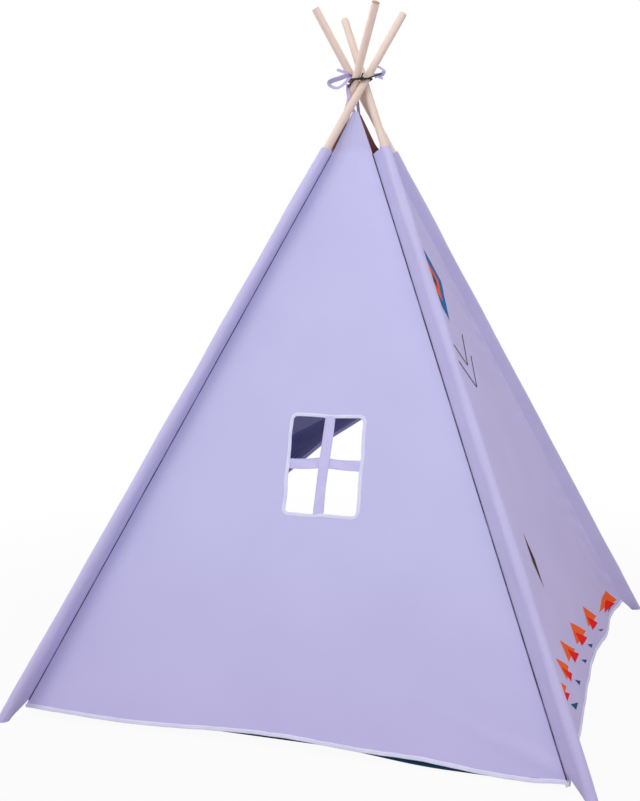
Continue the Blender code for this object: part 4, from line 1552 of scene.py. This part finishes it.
def makeMat():
    halfWidth = matCut["width"] / 2 - matCut["edge"]
    low = -matCut["front"] + matCut["edge"]
    high = matCut["back"] - matCut["edge"]

    def spot(rise, share):
        x, y = halfWidth * (2 * share - 1), low + (high - low) * rise
        u, v = matCut["cells"] * share, matCut["cells"] * rise
        puff = (abs(math.sin(math.pi * (u + v)) * math.sin(math.pi * (u - v)))) ** 0.4
        wander = 0.0003 * noise.noise(Vector((x * 14, y * 14, 0)))
        height = matCut["quiltTop"] + matCut["puff"] * puff + wander
        return Vector((x, y - frontWander(x, y), height)), (x, y)

    counts = (matCut["steps"], matCut["steps"])
    top = sheetPiece("matQuilt", counts, spot, tealQuilt, matCut["quiltThickness"], "teal_quilt", -1.0)
    fit(top, "floor_mat", "floor_mat")
    size = (matCut["width"] - matCut["edge"], matCut["front"] + matCut["back"] - matCut["edge"])
    path = []
    for point in roundedOutline(*size, matCut["corner"] - matCut["edge"] / 2, 5, 60):
        y = point.y + (matCut["back"] - matCut["front"]) / 2
        path.append(Vector((point.x, y - frontWander(point.x, y), matCut["thickness"] / 2)))
    asides = [up.cross(run).normalized() for run in tangents(path, True)]
    profile = bandProfile(matCut["edge"] + 0.001, matCut["thickness"], 5)
    outs = [up] * len(path)
    tape = sweepPiece("matTape", path, asides, outs, profile, tealQuilt, "teal_quilt", True)
    fit(tape, "floor_mat", "floor_mat_binding")


makeMat()
print("mat done")

# Floor, lamps and background
studio = {
    "world": 0.48,
    "floor": (0.50, 0.46, 0.47),
    "floorReach": 30,
    "floorDrop": 0.0005,
    "floorWhite": (0.94, 1.0),  # how far the camera sees the floor as white paper, near and far
    "whiteFrom": (1.0, 2.2),  # from the middle
    "lamps": (
        ("keyLamp", (-1.9, -2.5, 3.5), (0.0, -0.1, 1.1), 2.4, 54.0),
        ("sideLamp", (2.6, -2.2, 3.0), (0.2, 0.0, 1.0), 2.6, 53.0),
        ("leftLamp", (-3.3, -0.2, 2.4), (-0.2, 0.0, 0.9), 2.4, 26.0),
        ("backLamp", (-0.8, 4.0, 2.0), (0.0, 0.0, 0.7), 2.6, 80.0),
        ("topLamp", (0.0, 0.0, 4.6), (0.0, 0.0, 0.0), 3.0, 16.0),
        ("insideLamp", (0.1, 0.1, 0.04), (0.1, 0.1, 1.0), 0.5, 0.8),
    ),
}


# 1 on rays that the camera, glass or metal sees, else 0
def seenDirectly(tree):
    rays = tree.nodes.new("ShaderNodeLightPath").outputs
    straight = {0: rays["Is Camera Ray"], 1: rays["Is Glossy Ray"]}
    either = addNode(tree, "Math", straight, operation="MAXIMUM")
    return addNode(tree, "Math", {0: either, 1: rays["Is Transmission Ray"]}, operation="MAXIMUM")


# A value between two places, spread between two others
def spread(tree, value, low, high, start=0.0, end=1.0):
    inputs = {"Value": value, "From Min": start, "From Max": end, "To Min": low, "To Max": high}
    return addNode(tree, "MapRange", inputs, "Result")


def makeFloorPaper():
    paper = Finish("floorPaper", 0.95, specular=0.1)
    paper.shader.inputs["Base Color"].default_value = (*studio["floor"], 1)
    tree = paper.tree
    away = addNode(tree, "VectorMath", {0: paper.coordinates("Object")}, "Value", operation="LENGTH")
    whiteness = spread(tree, away, *studio["floorWhite"], *studio["whiteFrom"])
    share = paper.math("MULTIPLY", seenDirectly(tree), whiteness)
    shaders = {0: share, 1: paper.shader.outputs[0], 2: addNode(tree, "Emission", {})}
    tree.links.new(addNode(tree, "MixShader", shaders), tree.nodes["Material Output"].inputs["Surface"])
    return paper.material


def makeFloor():
    reach = studio["floorReach"]
    corners = [(-reach, -reach, 0), (reach, -reach, 0), (reach, reach, 0), (-reach, reach, 0)]
    mesh = bpy.data.meshes.new("studioFloor")
    mesh.from_pydata(corners, [], [(0, 1, 2, 3)])
    mesh.materials.append(makeFloorPaper())
    floor = bpy.data.objects.new("studioFloor", mesh)
    floor.location = (0, 0, -studio["floorDrop"])
    scene.collection.objects.link(floor)


def makeLamp(name, place, aim, size, power):
    light = bpy.data.lights.new(name, "AREA")
    light.shape = "SQUARE"
    light.size = size
    light.energy = power
    lamp = bpy.data.objects.new(name, light)
    lamp.location = place
    lamp.rotation_euler = (Vector(aim) - Vector(place)).to_track_quat("-Z", "Y").to_euler()
    lamp.visible_camera = False
    scene.collection.objects.link(lamp)


def makeWorld():
    world = bpy.data.worlds.new("studioWorld")
    scene.world = world
    world.use_nodes = True
    tree = world.node_tree
    background = tree.nodes["Background"]
    background.inputs["Color"].default_value = (*white, 1)
    strength = spread(tree, seenDirectly(tree), studio["world"], 1.0)
    tree.links.new(strength, background.inputs["Strength"])


makeFloor()
for row in studio["lamps"]:
    makeLamp(*row)
makeWorld()
scene.view_settings.view_transform = "Standard"
print("scene ready")
